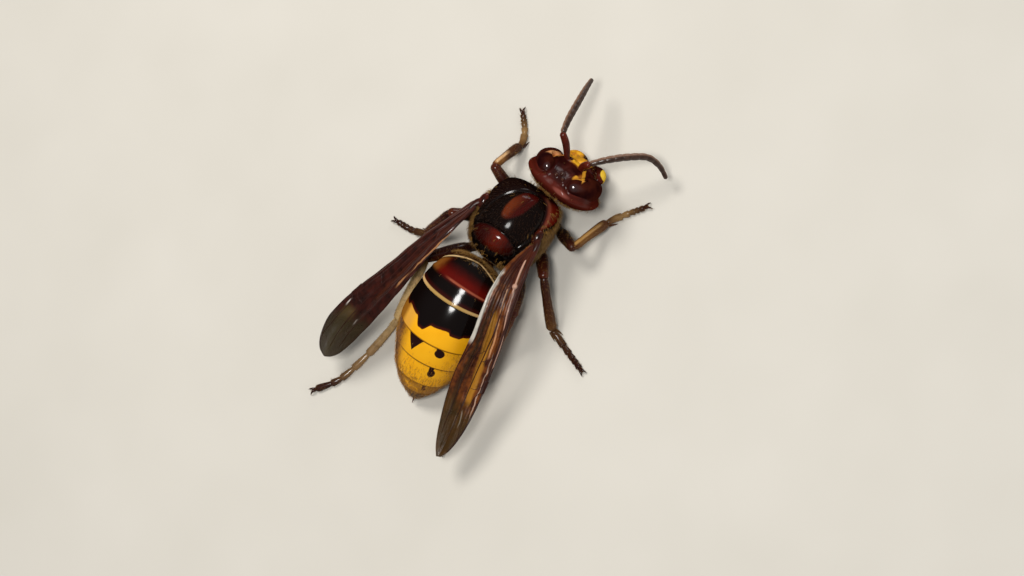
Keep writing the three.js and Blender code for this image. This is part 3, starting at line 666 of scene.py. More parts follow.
def skullSurface():
    polar, angle = fromPole(fine(220), 0.02), roundAngles(fine(300))
    x, y, z = np.broadcast_arrays(np.sin(polar) * np.cos(angle), np.cos(polar), np.sin(polar) * np.sin(angle))
    narrow = 1 - 0.36 * rise(-y, 0, 1)
    crown = 1 - 0.06 * rise(y, 0.2, 1)
    hollow = 0.74 + 0.26 * rise(np.hypot(x, y), 0, 0.65)
    depth = np.where(z > 0, head['front'], head['rear'] * hollow)
    boxy = lambda value, power: np.sign(value) * np.abs(value) ** power
    local = np.stack([
        boxy(x, 0.85) * head['halfWidth'] * narrow * crown,
        boxy(y, 0.85) * head['halfHeight'],
        np.where(z > 0, boxy(z, 0.95), boxy(z, 0.8)) * depth,
    ], -1)
    # The face shield stands out of the skull with a crease round it
    # The face shield stands out of the skull with a crease round it: a ray meets one or the other
    reach = np.linalg.norm(local, axis=-1)
    towards = local / reach[..., None]
    middle, half = headOval('faceShield')
    a = np.sum((towards / half) ** 2, -1)
    b = np.sum(-middle * towards / half ** 2, -1)
    c = np.sum((middle / half) ** 2) - 1
    under = b * b - a * c
    shieldReach = np.where(under > 0, (-b + np.sqrt(np.maximum(under, 0))) / a, 0)
    apart = shieldReach - reach
    blend = 0.16
    overlap = np.clip(blend - np.abs(apart), 0, None) / blend
    reach = np.maximum(reach, shieldReach) + overlap ** 2 * blend / 4
    surface = ringSurface(
        towards * reach[..., None], onShield=rise(apart, -0.04, 0.06),
        shieldEdge=bell(apart, 0.07) * (towards[..., 2] > 0),
        unwrapU=angle / (2 * np.pi), unwrapV=polar / np.pi)
    left, up, out = surface.points.T
    shieldEdge = surface.marks['shieldEdge']
    front = rise(out, 0.2, 0.9)
    socket = head['socket']
    fromSocket = np.hypot(np.abs(left) - socket['left'], up - socket['up'])
    swell = front * (0.16 * bell(fromSocket - socket['radius'], 0.12) - 0.25 * bell(fromSocket, 0.25))
    swell += front * 0.14 * bell(left, 0.45) * bell(up - 0.35, 0.9)
    midline = front * bell(left, 0.05) * rise(up, 0.5, 0.9) * (1 - rise(up, 2.2, 2.5))
    eyeReach = fromEyes(left, up, out)
    orbit = bell(eyeReach - 1.06, 0.05)
    swell += 0.24 * bell(eyeReach - 1.1, 0.45) * rise(-out, -0.9, 0.3)
    swell += 0.05 * bell(eyeReach - 1.22, 0.09) - 0.09 * orbit - 0.12 * (1 - rise(eyeReach, 0.8, 1.0))
    onCrown = rise(up, 1.6, 2.4)
    templeRim = bell(out + 0.4, 0.44) * np.maximum(onCrown, rise(np.abs(left), 0.8, 2.0))
    crownGroove = bell(out - 0.48 + 0.1 * np.abs(left), 0.12) * onCrown * (1 - rise(np.abs(left), 1.8, 2.5))
    swell += 0.2 * templeRim - 0.05 * crownGroove
    swell -= 0.05 * midline + 0.07 * shieldEdge
    for crownEye in head['crownEyes']:
        swell += 0.03 * bell(np.linalg.norm(surface.points - crownEye, axis=-1) - 0.27, 0.07)
    surface.points += surface.normals() * swell[:, None]
    crease = orbit * 0.8 + midline * 0.6 + crownGroove * 0.6 + shieldEdge * 0.9
    surface.marks['crease'] = np.clip(crease, 0, 1)
    surface.marks.update(zip(('left', 'up', 'out'), surface.points.T.copy()))
    surface.points = onHead(*surface.points.T)
    return surface.outwards()


def eyeStreak(left, up, edge):  # the orange streak down the inner side of the left eye
    aside = abs((left - 2.26) * 0.938 - (up - 1.06) * 0.347 + edge) / 0.38
    return aside.rises(1.0, 0.6) * up.rises(-0.4, 0.0) * up.rises(2.0, 1.6)


def eyeNotch(left, up, edge):  # the amber V in the notch of the right eye, and the brown between its arms
    aside = -left
    upper = (aside - 1.2) * 0.346 + (up - 2.14) * 0.938 + edge
    lower = (aside - 1.2) * 0.845 - (up - 0.35) * 0.535 + edge
    arms = (abs(upper) / 0.34).least(abs(lower) / 0.25).rises(1.0, 0.5)
    between = (-upper).rises(0.0, 0.1) * (-lower).rises(0.0, 0.1) * aside.rises(1.2, 1.6)
    return arms * aside.rises(1.05, 1.25) * aside.rises(2.35, 2.15), between


def skullFinish():
    finish = Finish('head_horn')
    left, up, out, onShield, crease = finish.marks('left', 'up', 'out', 'onShield', 'crease')
    wander = (finish.noise(1.0, 3.0) - 0.5) * 0.6
    temple = (out + wander * 0.4).rises(0.45, 0.1) * (out + wander * 0.3).rises(-1.5, -0.7)
    # A pale pinkish band on the temple ridge is a painted sheen, standing in for its soft highlight
    paintedSheen = oval((out, -0.25, 0.3), (left, -1.3, 1.1)) + wander * 0.4
    crownDark = (oval((up, 2.7, 0.8), (left, -0.15, 1.2), (out, 0.9, 0.8)) + wander).rises(1.4, 0.2)
    # The plate between the feelers, the face shield and the marks at the eyes are yellow; the shield's yellow
    # and the cheeks' are kept to the left side, the dark right side being painted shade
    plate = (abs(left) + wander * 0.3).rises(0.75, 0.5) * out.rises(0.6, 1.0)
    tawny = plate * (up + wander * 0.5).rises(0.9, 0.5) * 0.8
    plate = plate * (up + wander * 0.4).rises(0.65, 0.35)
    notch, notchInside = eyeNotch(left, up, wander * 0.15)
    notch = notch.most(eyeStreak(left, up, wander * 0.3)) * out.rises(0.3, 0.6)
    notchInside = notchInside * out.rises(0.7, 1.0)
    cheek = (oval((abs(left), 2.15, 0.55), (up, -1.95, 0.6)) + wander * 0.5).rises(1.2, 0.7)
    onFace = oval((left, 0.5, 1.4), (up, -1.7, 2.0)) + wander * 0.3
    # the shield's yellow is centred left of the midline: its dark right part is painted shade
    shieldYellow = onShield * out.rises(0.5, 0.9) * onFace.rises(1.1, 0.85)
    shieldSpots = (oval((abs(left), 0.62, 0.3), (up, -2.35, 0.42)) + wander).rises(1.2, 0.6)
    yellow = 'eaae2e'
    tan = finish.paint(
        yellow,
        (left.rises(1.0, 1.6) * 0.85, 'c8844e'),
        (left.rises(-0.9, -1.2) * (0.7 - finish.noise(0.6) * 0.5), 'b8742c'),
    )
    base = finish.paint(
        finish.mix(finish.noise(1.1, 3.0).rises(0.3, 0.7), '240908', '451812'),
        (temple * 0.75, '521a10'),
        # the painted sheen on the temple ridge
        (paintedSheen.rises(1.2, 0.1) * up.rises(2.4, 3.0) * 0.4, 'a05c50'),
        (crownDark * 0.6, '1c0a08'),
        (tawny.most(notchInside * 0.9), 'a8641e'),
        (plate.most(notch), tan),
        (shieldYellow, finish.mix(finish.noise(0.8) * 0.5 + 0.05, yellow, 'b8631a')),
        (shieldYellow * shieldSpots * 0.6, '8a3a12'),
        # the cheek is yellow on the left only: the dark right cheek is painted shade
        (cheek * left.rises(-0.5, 0.5) * 0.9, yellow),
        (crease * 0.55, '2a0c06'),
    )
    hornGloss(finish, base, rough=0.34, coat=0.7, pitSize=0.2, pitDepth=0.006, coatRough=0.2)
    return finish


headSkin = skullSurface()
addPiece('skull', headSkin, skullFinish(), 'head_shell', 'head')


def facetFinish():
    finish = Finish('eye_facets')
    left, up = finish.marks('left', 'up')
    grain, edge = finish.noise(0.5), finish.noise(0.7) * 0.3 - 0.15
    base = finish.paint(
        finish.mix(finish.noise(1.4).rises(0.3, 0.7), '1e0809', '3c170e'),
        (eyeStreak(left, up, edge), finish.mix(grain, 'b06a34', 'e0a878')),
        (eyeNotch(left, up, edge * 0.3)[0], finish.mix(grain, 'b8782a', 'e2a244')),
    )
    finish.set(Base_Color=base, Roughness=0.5, Specular_IOR_Level=0.0,
               Coat_Weight=finish.facing().rises(0.84, 0.97), Coat_Roughness=0.15, Coat_IOR=2.0)
    finish.bump(1 - finish.pits(0.055), 0.003, 0.5)
    return finish


def eyeSurface(side):
    polar, angle = fromPole(fine(110), 0.02), roundAngles(fine(120))
    blunt = np.sin(polar) ** 0.8
    local = np.stack(np.broadcast_arrays(blunt * np.cos(angle), np.cos(polar), blunt * np.sin(angle)), -1)
    place, half = headOval('eye')
    points = local * half + place
    points[..., 0] -= eyeLean(points[..., 1])
    notchPlace, notchHalf = headOval('notch')
    fromNotch = np.linalg.norm((points - notchPlace) / notchHalf, axis=-1)
    dent = 0.55 * (1 - rise(fromNotch, 0.75, 1.35))
    points = place + (points - place) * (1 - dent)[..., None]
    left, up, out = points[..., 0] * side, points[..., 1], points[..., 2]
    return ringSurface(onHead(left, up, out), along=polar / np.pi, left=left, up=up)


eyeFacets = facetFinish()
for label, side in bothSides:
    addPiece(f'eye_facets_{label}', eyeSurface(side), eyeFacets, 'eye', f'eye_{label}')

crownFinish = Finish('crown_eye_glass')
crownGlass = crownFinish.mix(crownFinish.noise(0.3), '2c120a', '4c2410')
crownFinish.set(Base_Color=crownGlass, Roughness=0.1, Specular_IOR_Level=0.7)
crownFinish.bump(crownFinish.noise(0.1), 0.002)
crownEyes = together([ball(onHead(*place), (0.19, 0.19, 0.19)) for place in head['crownEyes']])
addPiece('crown_eyes', crownEyes, crownFinish, 'eye')


# Jaws: broad curved blades with dark teeth on their inner edge

def jawFinish():
    finish = Finish('jaw_horn')
    along = finish.mark('along') + (finish.noise(0.7, 3.0) - 0.5) * 0.08
    spot = oval((along, 0.4, 0.2), (finish.mark('around'), 0.85, 0.27)).rises(1.05, 0.75)
    # Only the left jaw is painted ochre; the right jaw keeps the dark red as painted shade
    onLeft = finish.body()[0].rises(-2.2, -1.6) * (along + finish.noise(0.8) * 0.2).rises(0.9, 0.74)
    ochre = finish.mix(finish.noise(0.6, 3.0).rises(0.35, 0.65), 'eaae2e', 'c47a1e')
    red = finish.mix(along.rises(0.1, 0.7), '4a160d', '2a0c07')
    base = finish.paint(red, (spot, 'dcb43a'), (onLeft, ochre))
    hornGloss(finish, base, rough=0.3, coat=0.4, pitSize=0.16)
    return finish


jawShell = jawFinish()
jawTeeth = ((0.62, 0.34), (0.76, 0.4), (0.9, 0.46))  # where along the jaw, and how long
for label, side in bothSides:
    path = [onHead(side * 1.95, -2.3, 0.85), onHead(side * 1.55, -3.3, 1.45), onHead(side * 0.4, -3.95, 1.6)]
    jaw = [limb(path, [0.62, 0.76, 0.62, 0.3], fine(60), 36, flat=0.8)]
    for toothAt, toothLong in jawTeeth:
        root = smoothPath(path, np.array([toothAt]))[0]
        inwards = unit(onHead(0.0, -3.3, 0.9) - root)
        tooth = limb([root + inwards * 0.1, root + inwards * (0.35 + toothLong)], [0.24, 0.2, 0.05], 12, 14)
        tooth.marks['along'][:] = 0.9
        jaw.append(tooth)
    addPiece(f'jaw_{label}', together(jaw), jawShell, 'jaw', f'mandible_{label}')

mouthparts = [
    limb([onHead(side * 0.5, -2.9, 0.2), onHead(side * 0.75, -3.7, 0.3), onHead(side * 0.95, -4.2, 0.75)],
         [0.14, 0.13, 0.12, 0.07], 24, 12, shape=lambda share: 1 - 0.2 * np.abs(np.sin(share * 12.5)))
    for side in (1, -1)
]
mouthparts.append(limb([onHead(0, -2.5, 0.2), onHead(0, -3.5, 0.5)], [0.8, 0.75, 0.4], 20, 24, flat=0.5))
addPiece('mouthparts', together(mouthparts), jawShell, 'jaw')


# Neck: hidden for the most part, between the skull and the collar

def legHorn(name, pale, dark, gloss=0.32):
    finish = Finish(name)
    along = finish.mark('along')
    tone = finish.noise(0.9, 3.0)
    base = finish.mix((tone * 0.7 + along * 0.3).rises(0.25, 0.75), dark, pale)
    hornGloss(finish, base, rough=gloss, coat=0.7, pitSize=0.12, pitDepth=0.006, level=0.06)
    return finish


darkHorn = legHorn('dark_leg_horn', '5a1f10', '1c0906')
neck = limb([onHead(0, -0.3, -1.0), at(3.9, -0.25, 4.6)], [1.1, 1.0, 1.1], 24, 36)
addPiece('neck_skin', neck, darkHorn, 'chitin_black', 'neck')
print('head made')

# Feelers: a long first joint, a small cup, and a whip of rings

feelers = {
    'left': {
        'scape': [onHead(0.78, 0.15, 1.35), at(9.5, -0.25, 6.4), at(10.2, 0.42, 7.3)],
        'whip': allAt([(10.2, 0.42, 7.3), (11.6, 0.85, 7.0), (13.8, 1.45, 6.0),
                       (15.6, 2.0, 4.9), (16.6, 2.35, 4.0)]),
    },
    'right': {
        'scape': [onHead(-0.78, 0.15, 1.35), at(8.55, -2.9, 6.1), at(9.15, -3.6, 6.8)],
        'whip': allAt([(9.15, -3.6, 6.8), (10.4, -4.7, 6.6), (12.0, -6.2, 5.7),
                       (13.1, -7.5, 4.5), (13.1, -8.6, 3.3), (12.5, -9.6, 2.2)]),
    },
    'rings': 11, 'scapeRadii': [0.34 * share for share in (0.62, 0.95, 1.12, 1.0)],
    'whipRadii': [0.36 * share for share in (0.85, 1.0, 1.0, 0.88, 0.62)],
}


def whipRings(share):  # each ring a little barrel, narrow at its joint
    local = (share * feelers['rings']) % 1
    return 0.86 + 0.16 * np.sqrt(np.clip(4 * local * (1 - local), 0, 1))


whipFinish = Finish('feeler_whip')
# A pale streak down the upper side of each whip is a painted highlight; the noise adds real tone
whipHighlightAndTone = (1 - abs(whipFinish.mark('around') - 0.28) / 0.3).rises(0.0, 0.8) * 0.8
whipHighlightAndTone = whipHighlightAndTone + whipFinish.noise(0.5, 3.0) * 0.4 - 0.1
whipFinish.set(
    Base_Color=whipFinish.mix(whipHighlightAndTone, '24120b', '80604c'), Roughness=0.4, Specular_IOR_Level=0.1,
    Coat_Weight=whipFinish.facing().rises(0.3, 0.8) * 0.8, Coat_Roughness=0.28, Coat_IOR=1.6)
whipFinish.bump(whipFinish.noise(0.05), 0.01)
scapeFinish = legHorn('feeler_base_horn', '5a1e10', '340f09', 0.3)
for label in ('left', 'right'):
    root, elbow = feelers[label]['scape'][:2]
    scape = together([
        limb(feelers[label]['scape'], feelers['scapeRadii'], fine(60), 26, past=(0, 0.15)),
        ball(root * 0.9 + elbow * 0.1, (0.36, 0.36, 0.36)),
    ])
    addPiece(f'feeler_base_{label}', scape, scapeFinish, 'feeler_base', f'antenna_scape_{label}')
    whip = limb(feelers[label]['whip'], feelers['whipRadii'], fine(230), 26, shape=whipRings)
    addPiece(f'feeler_whip_{label}', whip, whipFinish, 'feeler_whip', f'antenna_flagellum_{label}')
print('feelers made')

# Gaster: six bells, each tucked under the hind edge of the one before

gaster = {
    'forward': [-4.5, -4.95, -5.35, -6.0, -7.35, -8.9, -10.9, -12.7, -14.7, -16.6, -18.2, -19.2, -20.0],
    'height': [4.3, 4.45, 4.8, 5.1, 5.2, 5.1, 4.75, 4.25, 3.45, 2.7, 2.05, 1.65, 1.3],
    'lean': [0, -8, -14, -12, 4, 20, 26, 30, 35, 41, 47, 51, 54],
    'side': [0.6, 1.0, 2.2, 3.25, 3.95, 4.35, 4.5, 4.45, 4.05, 3.3, 2.3, 1.4, 0.4],
    'up': [0.55, 0.95, 2.05, 3.0, 3.65, 4.05, 4.15, 4.0, 3.45, 2.7, 1.75, 1.0, 0.3],
    'down': [0.5, 0.9, 1.9, 2.8, 3.4, 3.65, 3.7, 3.5, 2.85, 2.05, 1.3, 0.75, 0.25],
    'ends': [0, 5 / 12, 7 / 12, 8 / 12, 9.25 / 12, 10.2 / 12, 1],
    'step': 0.045, 'tuck': 0.16, 'roll': 10.0, 'bandEdge': 0.845,
    'marks': {  # on segments 3 to 5: the triangle's reach, and the spots' place, size and redness
        2: {'triangle': 0.72, 'turn': 39, 'along': 0.25, 'size': 1.0, 'red': 0.15},
        3: {'triangle': 0.0, 'turn': 41, 'along': 0.3, 'size': 0.85, 'red': 0.15},
        4: {'triangle': 0.0, 'turn': 45, 'along': 0.4, 'size': 0.7, 'red': 0.7},
    },
}


def bellSurface(number):
    start, end = gaster['ends'][number], gaster['ends'][number + 1]
    behindFirst = number > 0
    rings = fine(70 if behindFirst else 110)
    local = np.linspace(-gaster['tuck'] * behindFirst, 1, rings)
    local = np.concatenate([local, [1.0, 1.0, 0.98, 0.9]])[:, None]
    inner = np.concatenate([np.zeros(rings), [0.012, 0.035, 0.06, 0.12]])[:, None]  # the folded hind edge
    share = start + (end - start) * local
    angle = roundAngles(fine(220))
    step = gaster['step'] * (1 if behindFirst else 0.5)
    size = 1 + step * (np.sqrt(np.clip(local, 0, 1)) - 0.55) - inner
    size = size - 0.05 * np.clip(-local, 0, 1) / gaster['tuck'] * behindFirst
    if not behindFirst:
        size = size + 0.014 * bell(local - gaster['bandEdge'], 0.022)
    lean = np.radians(runThrough(gaster['lean'], share))
    tall = np.where(np.sin(angle) > 0, runThrough(gaster['up'], share), runThrough(gaster['down'], share))
    across = 0.15 - 0.65 * share ** 6
    # Belly plates sit inside the back plates along a line low on each side
    belly = rise(-np.sin(angle), 0.42, 0.47)
    wide = runThrough(gaster['side'], share) * size * (1 - 0.03 * belly * (number != 5))
    lifted = np.sin(angle) * tall * size * (1 - 0.03 * belly)
    points = at(
        runThrough(gaster['forward'], share) - np.sin(lean) * lifted,
        across + np.cos(angle) * wide,
        runThrough(gaster['height'], share) + np.cos(lean) * lifted,
    )
    fromTop = np.degrees(np.arctan2(np.cos(angle), np.sin(angle)))  # degrees from the top, plus to the left
    return ringSurface(
        points, along=np.clip(local, 0, 1), turn=fromTop - gaster['roll'] * behindFirst, belly=belly,
        unwrapU=angle / (2 * np.pi), unwrapV=(local + 0.2) / 1.25)


def gasterFinish(number):
    finish = Finish(f'gaster_horn_{number + 1}')
    along, turn, belly = finish.marks('along', 'turn', 'belly')
    turn = turn + 2.5  # the markings' own midline
    aside = abs(turn)
    ragged = (finish.noise(0.5) - 0.5) * 0.3 + (finish.noise(2.4) - 0.5) * 0.25
    soft = finish.noise(1.7, 3.0)
    black = '0d0706'
    yellow = finish.mix(soft, 'e69e10', 'f4b41e')
    if number == 0:
        fromRim = along - (0.555 + 0.00215 * ((turn + 10) ** 2 + 60) ** 0.5)
        edge = gaster['bandEdge']
        band = (along + ragged * 0.06).rises(0.69, 0.8) * (edge - along + ragged * 0.03).rises(-0.03, 0.02)
        onLeft = (fromRim + ragged * 0.03).rises(0.0, 0.05) * (turn + ragged * 20).rises(24, 46)
        band = band.most(onLeft * along.rises(0.85, 0.8))
        red = finish.mix(soft * 0.6 + along.rises(0.74, 0.84) * 0.4, '300403', '600e06')
        red = finish.mix((turn + ragged * 25).rises(30, 56), red, '7c4a1c')
        # A thin pinkish line on the band's hind edge, on the right side, is a painted highlight
        bandHighlightLine = (1 - abs(along - edge + 0.004) / 0.014).rises(0, 0.8) * turn.rises(24, 4)
        base = finish.paint(
            finish.mix((-fromRim).rises(0.0, 0.05), black, '2c120a'),
            (band * aside.rises(88, 70), red),
            ((0.965 - along).rises(0.035, 0.0) * 0.6, '3a0c07'),
            ((1 - abs(fromRim) / 0.016).rises(0, 0.7) * aside.rises(95, 70), 'c8a878'),
            (bandHighlightLine * 0.6, 'a85a40'),
            (along.rises(0.97, 0.978), finish.mix(aside.rises(20, 60), 'a8864c', 'caa470')),
        )
    elif number == 1:
        edge = 0.78 - aside.rises(3, 13) * 0.21 - aside.rises(14, 34) * 0.05 + aside.rises(36, 40) * 0.07
        edge = edge - aside.rises(52, 58) * 0.06 - aside.rises(60, 80) * 0.12 - aside.rises(80, 125) * 0.4
        edge = edge + ragged * 0.06
        # The yellow turns tan and then brown towards the left flank: painted shade
        shadedYellow = finish.paint(
            yellow,
            ((turn + ragged * 8).rises(6, 22) * 0.6, 'c48e48'),
            ((turn + ragged * 12).rises(27, 38) * 0.85, '7c4a12'),
        )
        darkTone = finish.mix((edge - along).rises(0.1, 0.01), black, '3a0e08')
        base = finish.mix((edge - along).rises(-0.012, 0.012), shadedYellow, darkTone)
    elif number == 5:
        base = finish.mix(along.rises(0.0, 0.6), '5e3a0e', '2e1a06')
    else:
        # A median triangle and a stemmed spot on each side hang from the front edge
        marks = gaster['marks'][number]
        fromSpot, spotEnd, spotSize = aside - marks['turn'], marks['along'], marks['size']
        # The flanks turn brown, far higher on the left than the right: partly the flanks' own brown, mostly
        # painted shade on the side away from the light
        flankBrownAndShade = (turn + ragged * 20).rises(5, 34).most((-turn + ragged * 30).rises(58, 100))
        freckles = (finish.noise(0.22, 3.0) - 0.5) * 6 + flankBrownAndShade * 1.6 - 1.3
        triangle = (marks['triangle'] * (1 - aside / 13.5) - along + ragged * 0.08).rises(-0.02, 0.02)
        spot = 1 - (fromSpot / (7.0 * spotSize)) ** 2 - ((along - spotEnd) / (0.2 * spotSize)) ** 2
        spot = spot + ragged * 0.8
        stem = (1 - abs(fromSpot + 2.5) / (5.2 - along * 6)).rises(0, 0.35)
        stem = stem * along.rises(spotEnd, spotEnd - 0.04)
        spots = spot.rises(-0.1, 0.15).most(stem) * (1 - turn.rises(20, 40) * 0.5)
        front = (0.055 + ragged * 0.04 - along).rises(-0.02, 0.01) * 0.85
        # brown on the flanks: partly own colour, mostly painted shade
        base = finish.mix(flankBrownAndShade * 0.95, yellow, '74430c')
        if number == 4:
            base = finish.mix(soft.rises(0.25, 0.6) * 0.85, base, '86541a')
        base = finish.paint(
            base,
            (freckles.rises(0.0, 0.6) * flankBrownAndShade * 0.7, '4e2a0a'),
            (triangle.most(spots).most(front), finish.mix((soft + 0.2) * marks['red'], black, '5a150b')),
        )
    if number > 0:
        under = finish.mix(along.rises(0.25, 0.32) * soft.rises(0.2, 0.6), '4a2410', 'c8902a')
        # Brown at each bell's hind edge, where it folds over the next, is painted shade at the seam
        base = finish.paint(base, (belly, under), (along.rises(0.965, 0.99) * 0.65, '6a3010'))
    rough, coat, level = (0.24, 0.6, 0.0) if number < 2 else (0.4, 0.25, 0.12)
    hornGloss(finish, base, rough=rough, coat=coat, pitSize=0.16, pitDepth=0.004, level=level)
    return finish


bellSkins = []
for number in range(6):
    bellSkins.append(bellSurface(number))
    slotName = 'gaster_front' if number < 2 else 'gaster_yellow'
    addPiece(
        f'gaster_bell_{number + 1}', bellSkins[-1], gasterFinish(number), slotName, f'gaster_{number + 1}')
stingPath = allAt([(-19.7, -0.5, 1.35), (-20.4, -0.52, 0.95), (-20.75, -0.54, 0.7)])
sting = limb(stingPath, [0.16, 0.1, 0.03], 20, 12)
addPiece('sting_sheath', sting, darkHorn, 'gaster_yellow')
print('gaster made')

# Wings: thin pleated film on raised veins

wings = {
    'left': {
        'outer': [(-0.2, 4.2, 6.7), (-3.0, 5.35, 6.5), (-6.5, 6.95, 6.0), (-10.2, 8.35, 5.3),
                  (-15.0, 10.2, 4.6), (-18.5, 11.0, 4.15), (-20.6, 10.6, 3.95),
                  (-21.6, 9.9, 3.9), (-22.0, 9.1, 3.9)],
        'inner': [(-0.9, 3.5, 7.15), (-4.0, 3.9, 7.6), (-7.5, 4.5, 7.5), (-11.2, 5.15, 6.8),
                  (-16.2, 6.2, 5.5), (-19.6, 7.2, 4.5), (-20.9, 7.75, 4.15),
                  (-21.6, 8.3, 4.0), (-21.98, 8.9, 3.9)],
    },
    'right': {
        'outer': [(-0.2, -4.1, 6.7), (-3.4, -4.75, 6.9), (-7.2, -5.75, 6.6), (-10.2, -6.6, 6.0),
                  (-16.9, -7.75, 4.6), (-20.4, -8.05, 4.2), (-22.3, -7.85, 4.0), (-23.3, -7.45, 3.95)],
        'inner': [(-0.9, -3.4, 7.15), (-3.9, -3.15, 8.7), (-7.0, -3.45, 9.25), (-11.4, -4.3, 8.4),
                  (-16.2, -4.35, 6.0), (-20.5, -5.5, 4.7), (-22.6, -6.35, 4.1), (-23.5, -7.0, 3.95)],
    },
    'film': 0.07, 'pleats': 3, 'pleatHeight': 0.2, 'folds': {'left': 0.03, 'right': 0.085},
    'foreVeins': [  # stations along and across the blade, and a radius
        ([(0.0, 0.03), (0.3, 0.02), (0.6, 0.02), (0.8, 0.02), (0.97, 0.06)], 0.17),
        ([(0.0, 0.17), (0.3, 0.12), (0.5, 0.1), (0.64, 0.04)], 0.15),
        ([(0.0, 0.36), (0.25, 0.34), (0.45, 0.38), (0.62, 0.4), (0.8, 0.45), (0.93, 0.5)], 0.12),
        ([(0.01, 0.5), (0.3, 0.55), (0.55, 0.66), (0.78, 0.74), (0.9, 0.8)], 0.11),
        ([(0.0, 0.72), (0.25, 0.8), (0.45, 0.9), (0.6, 0.97)], 0.11),
        ([(0.5, 0.98), (0.75, 0.975), (0.93, 0.95)], 0.07),
        ([(0.66, 0.06), (0.72, 0.2), (0.82, 0.2), (0.91, 0.05)], 0.1),
        ([(0.5, 0.11), (0.53, 0.25), (0.55, 0.39)], 0.09),
        ([(0.63, 0.05), (0.665, 0.22), (0.675, 0.42)], 0.09),
        ([(0.75, 0.22), (0.77, 0.33), (0.775, 0.44)], 0.08),
        ([(0.5, 0.39), (0.515, 0.5), (0.53, 0.64)], 0.09),
        ([(0.68, 0.42), (0.7, 0.56), (0.72, 0.71)], 0.08),
        ([(0.2, 0.35), (0.23, 0.45), (0.25, 0.54)], 0.08),
        ([(0.33, 0.56), (0.36, 0.7), (0.37, 0.86)], 0.08),
    ],
    'hindVeins': [
        ([(0.0, 0.05), (0.4, 0.04), (0.95, 0.06)], 0.12),
        ([(0.0, 0.4), (0.4, 0.45), (0.85, 0.5)], 0.1),
        ([(0.0, 0.75), (0.4, 0.8), (0.8, 0.85)], 0.08),
    ],
    'frontSpot': [(0.615, 0.045), (0.645, 0.05), (0.675, 0.05)],
    # a vein on the right wing, painted cream as a painted highlight
    'paleVein': [(0.08, 0.33), (0.16, 0.28), (0.22, 0.255), (0.275, 0.205),
                 (0.35, 0.155), (0.43, 0.09), (0.56, 0.03)],
    'hindSpan': {'outer': 0.02, 'inner': 0.35, 'root': 0.0, 'tip': 0.7}, 'hindDrop': 0.75,
}


class Blade:  # a wing's middle surface, by shares along and across it
    def __init__(self, edges, span, drop, folds=0.0):
        self.outer, self.inner = (smoothPath(allAt(edges[name]), 500) for name in ('outer', 'inner'))
        self.span = span
        self.drop = drop
        self.folds = folds

    def sample(self, line, share):
        shares = np.linspace(0, 1, len(line))
        return np.stack([np.interp(share, shares, line[:, axis]) for axis in range(3)], -1)

    def place(self, along, across):  # places and upward normals
        span = self.span
        whole = span['root'] + (span['tip'] - span['root']) * along
        taper = np.sqrt(np.clip((1 - along) * 4 + 0.12, 0, 1)) if span['tip'] < 1 else 1
        side = span['outer'] + (span['inner'] - span['outer']) * (0.5 + (across - 0.5) * taper)
        start, end = self.sample(self.outer, whole), self.sample(self.inner, whole)
        ahead = unit(self.sample(np.gradient(self.outer, axis=0) + np.gradient(self.inner, axis=0), whole))
        normal = unit(np.cross(end - start, ahead))
        normal = normal * np.sign(normal[..., 2:])
        flat = np.minimum(1, np.minimum(whole * 6, (1 - whole) * 5))
        ripple = 0.025 * np.sin(whole * 55 + side * 9) * flat
        atRoot = 1 - 0.75 * rise(whole, 0.45, 0.75)
        ripple = ripple + self.folds * np.sin(side * 44 + whole * 9) * flat * atRoot
        pleat = wings['pleatHeight'] * np.sin(side * np.pi * wings['pleats']) * flat + ripple - self.drop
        return start + (end - start) * side[..., None] + normal * pleat[..., None], normal


def filmSurface(blade, rows, columns):
    along = (1 - np.cos(np.linspace(0, np.pi, rows))) / 2 * 0.3 + np.linspace(0, 1, rows) * 0.7
    alongGrid, acrossGrid = np.meshgrid(along, np.linspace(0, 1, columns), indexing='ij')
    middle, normal = blade.place(alongGrid, acrossGrid)
    edge = np.minimum(1, np.minimum(acrossGrid, 1 - acrossGrid) * 12 + 0.35)[..., None]
    half = normal * wings['film'] / 2 * edge
    points = np.concatenate([(middle + half).reshape(-1, 3), (middle - half).reshape(-1, 3)])
    under = rows * columns
    index = np.arange(under).reshape(rows, columns)
    quads = np.stack([index[:-1, :-1], index[:-1, 1:], index[1:, 1:], index[1:, :-1]], -1).reshape(-1, 4)
    loop = np.concatenate([index[0, :-1], index[:-1, -1], index[-1, :0:-1], index[:0:-1, 0]])
    after = np.roll(loop, -1)
    rim = np.stack([after, loop, loop + under, after + under], -1)
    marks = {'along': np.tile(alongGrid.ravel(), 2), 'across': np.tile(acrossGrid.ravel(), 2)}
    quads = np.concatenate([quads, quads[:, ::-1] + under, rim])
    return Surface(points, quads, np.zeros((0, 3), int), marks).outwards()


def veinSurface(blade, stations, radius, thin=0.45):
    line = smoothPath([(along, across, 0.0) for along, across in stations], fine(110))
    middle, normal = blade.place(np.clip(line[:, 0], 0, 1), np.clip(line[:, 1], 0, 1))
    share = np.linspace(0, 1, len(middle))
    sideways = np.cross(unit(np.gradient(middle, axis=0)), normal)
    thick = radius * (1 - 0.55 * line[:, 0]) * np.sqrt(np.clip(1 - (2 * share - 1) ** 40, 0.02, 1))
    return ringSurface(tube(middle, thick, sideways, normal, 12, thin * 1.6), along=line[:, :1])


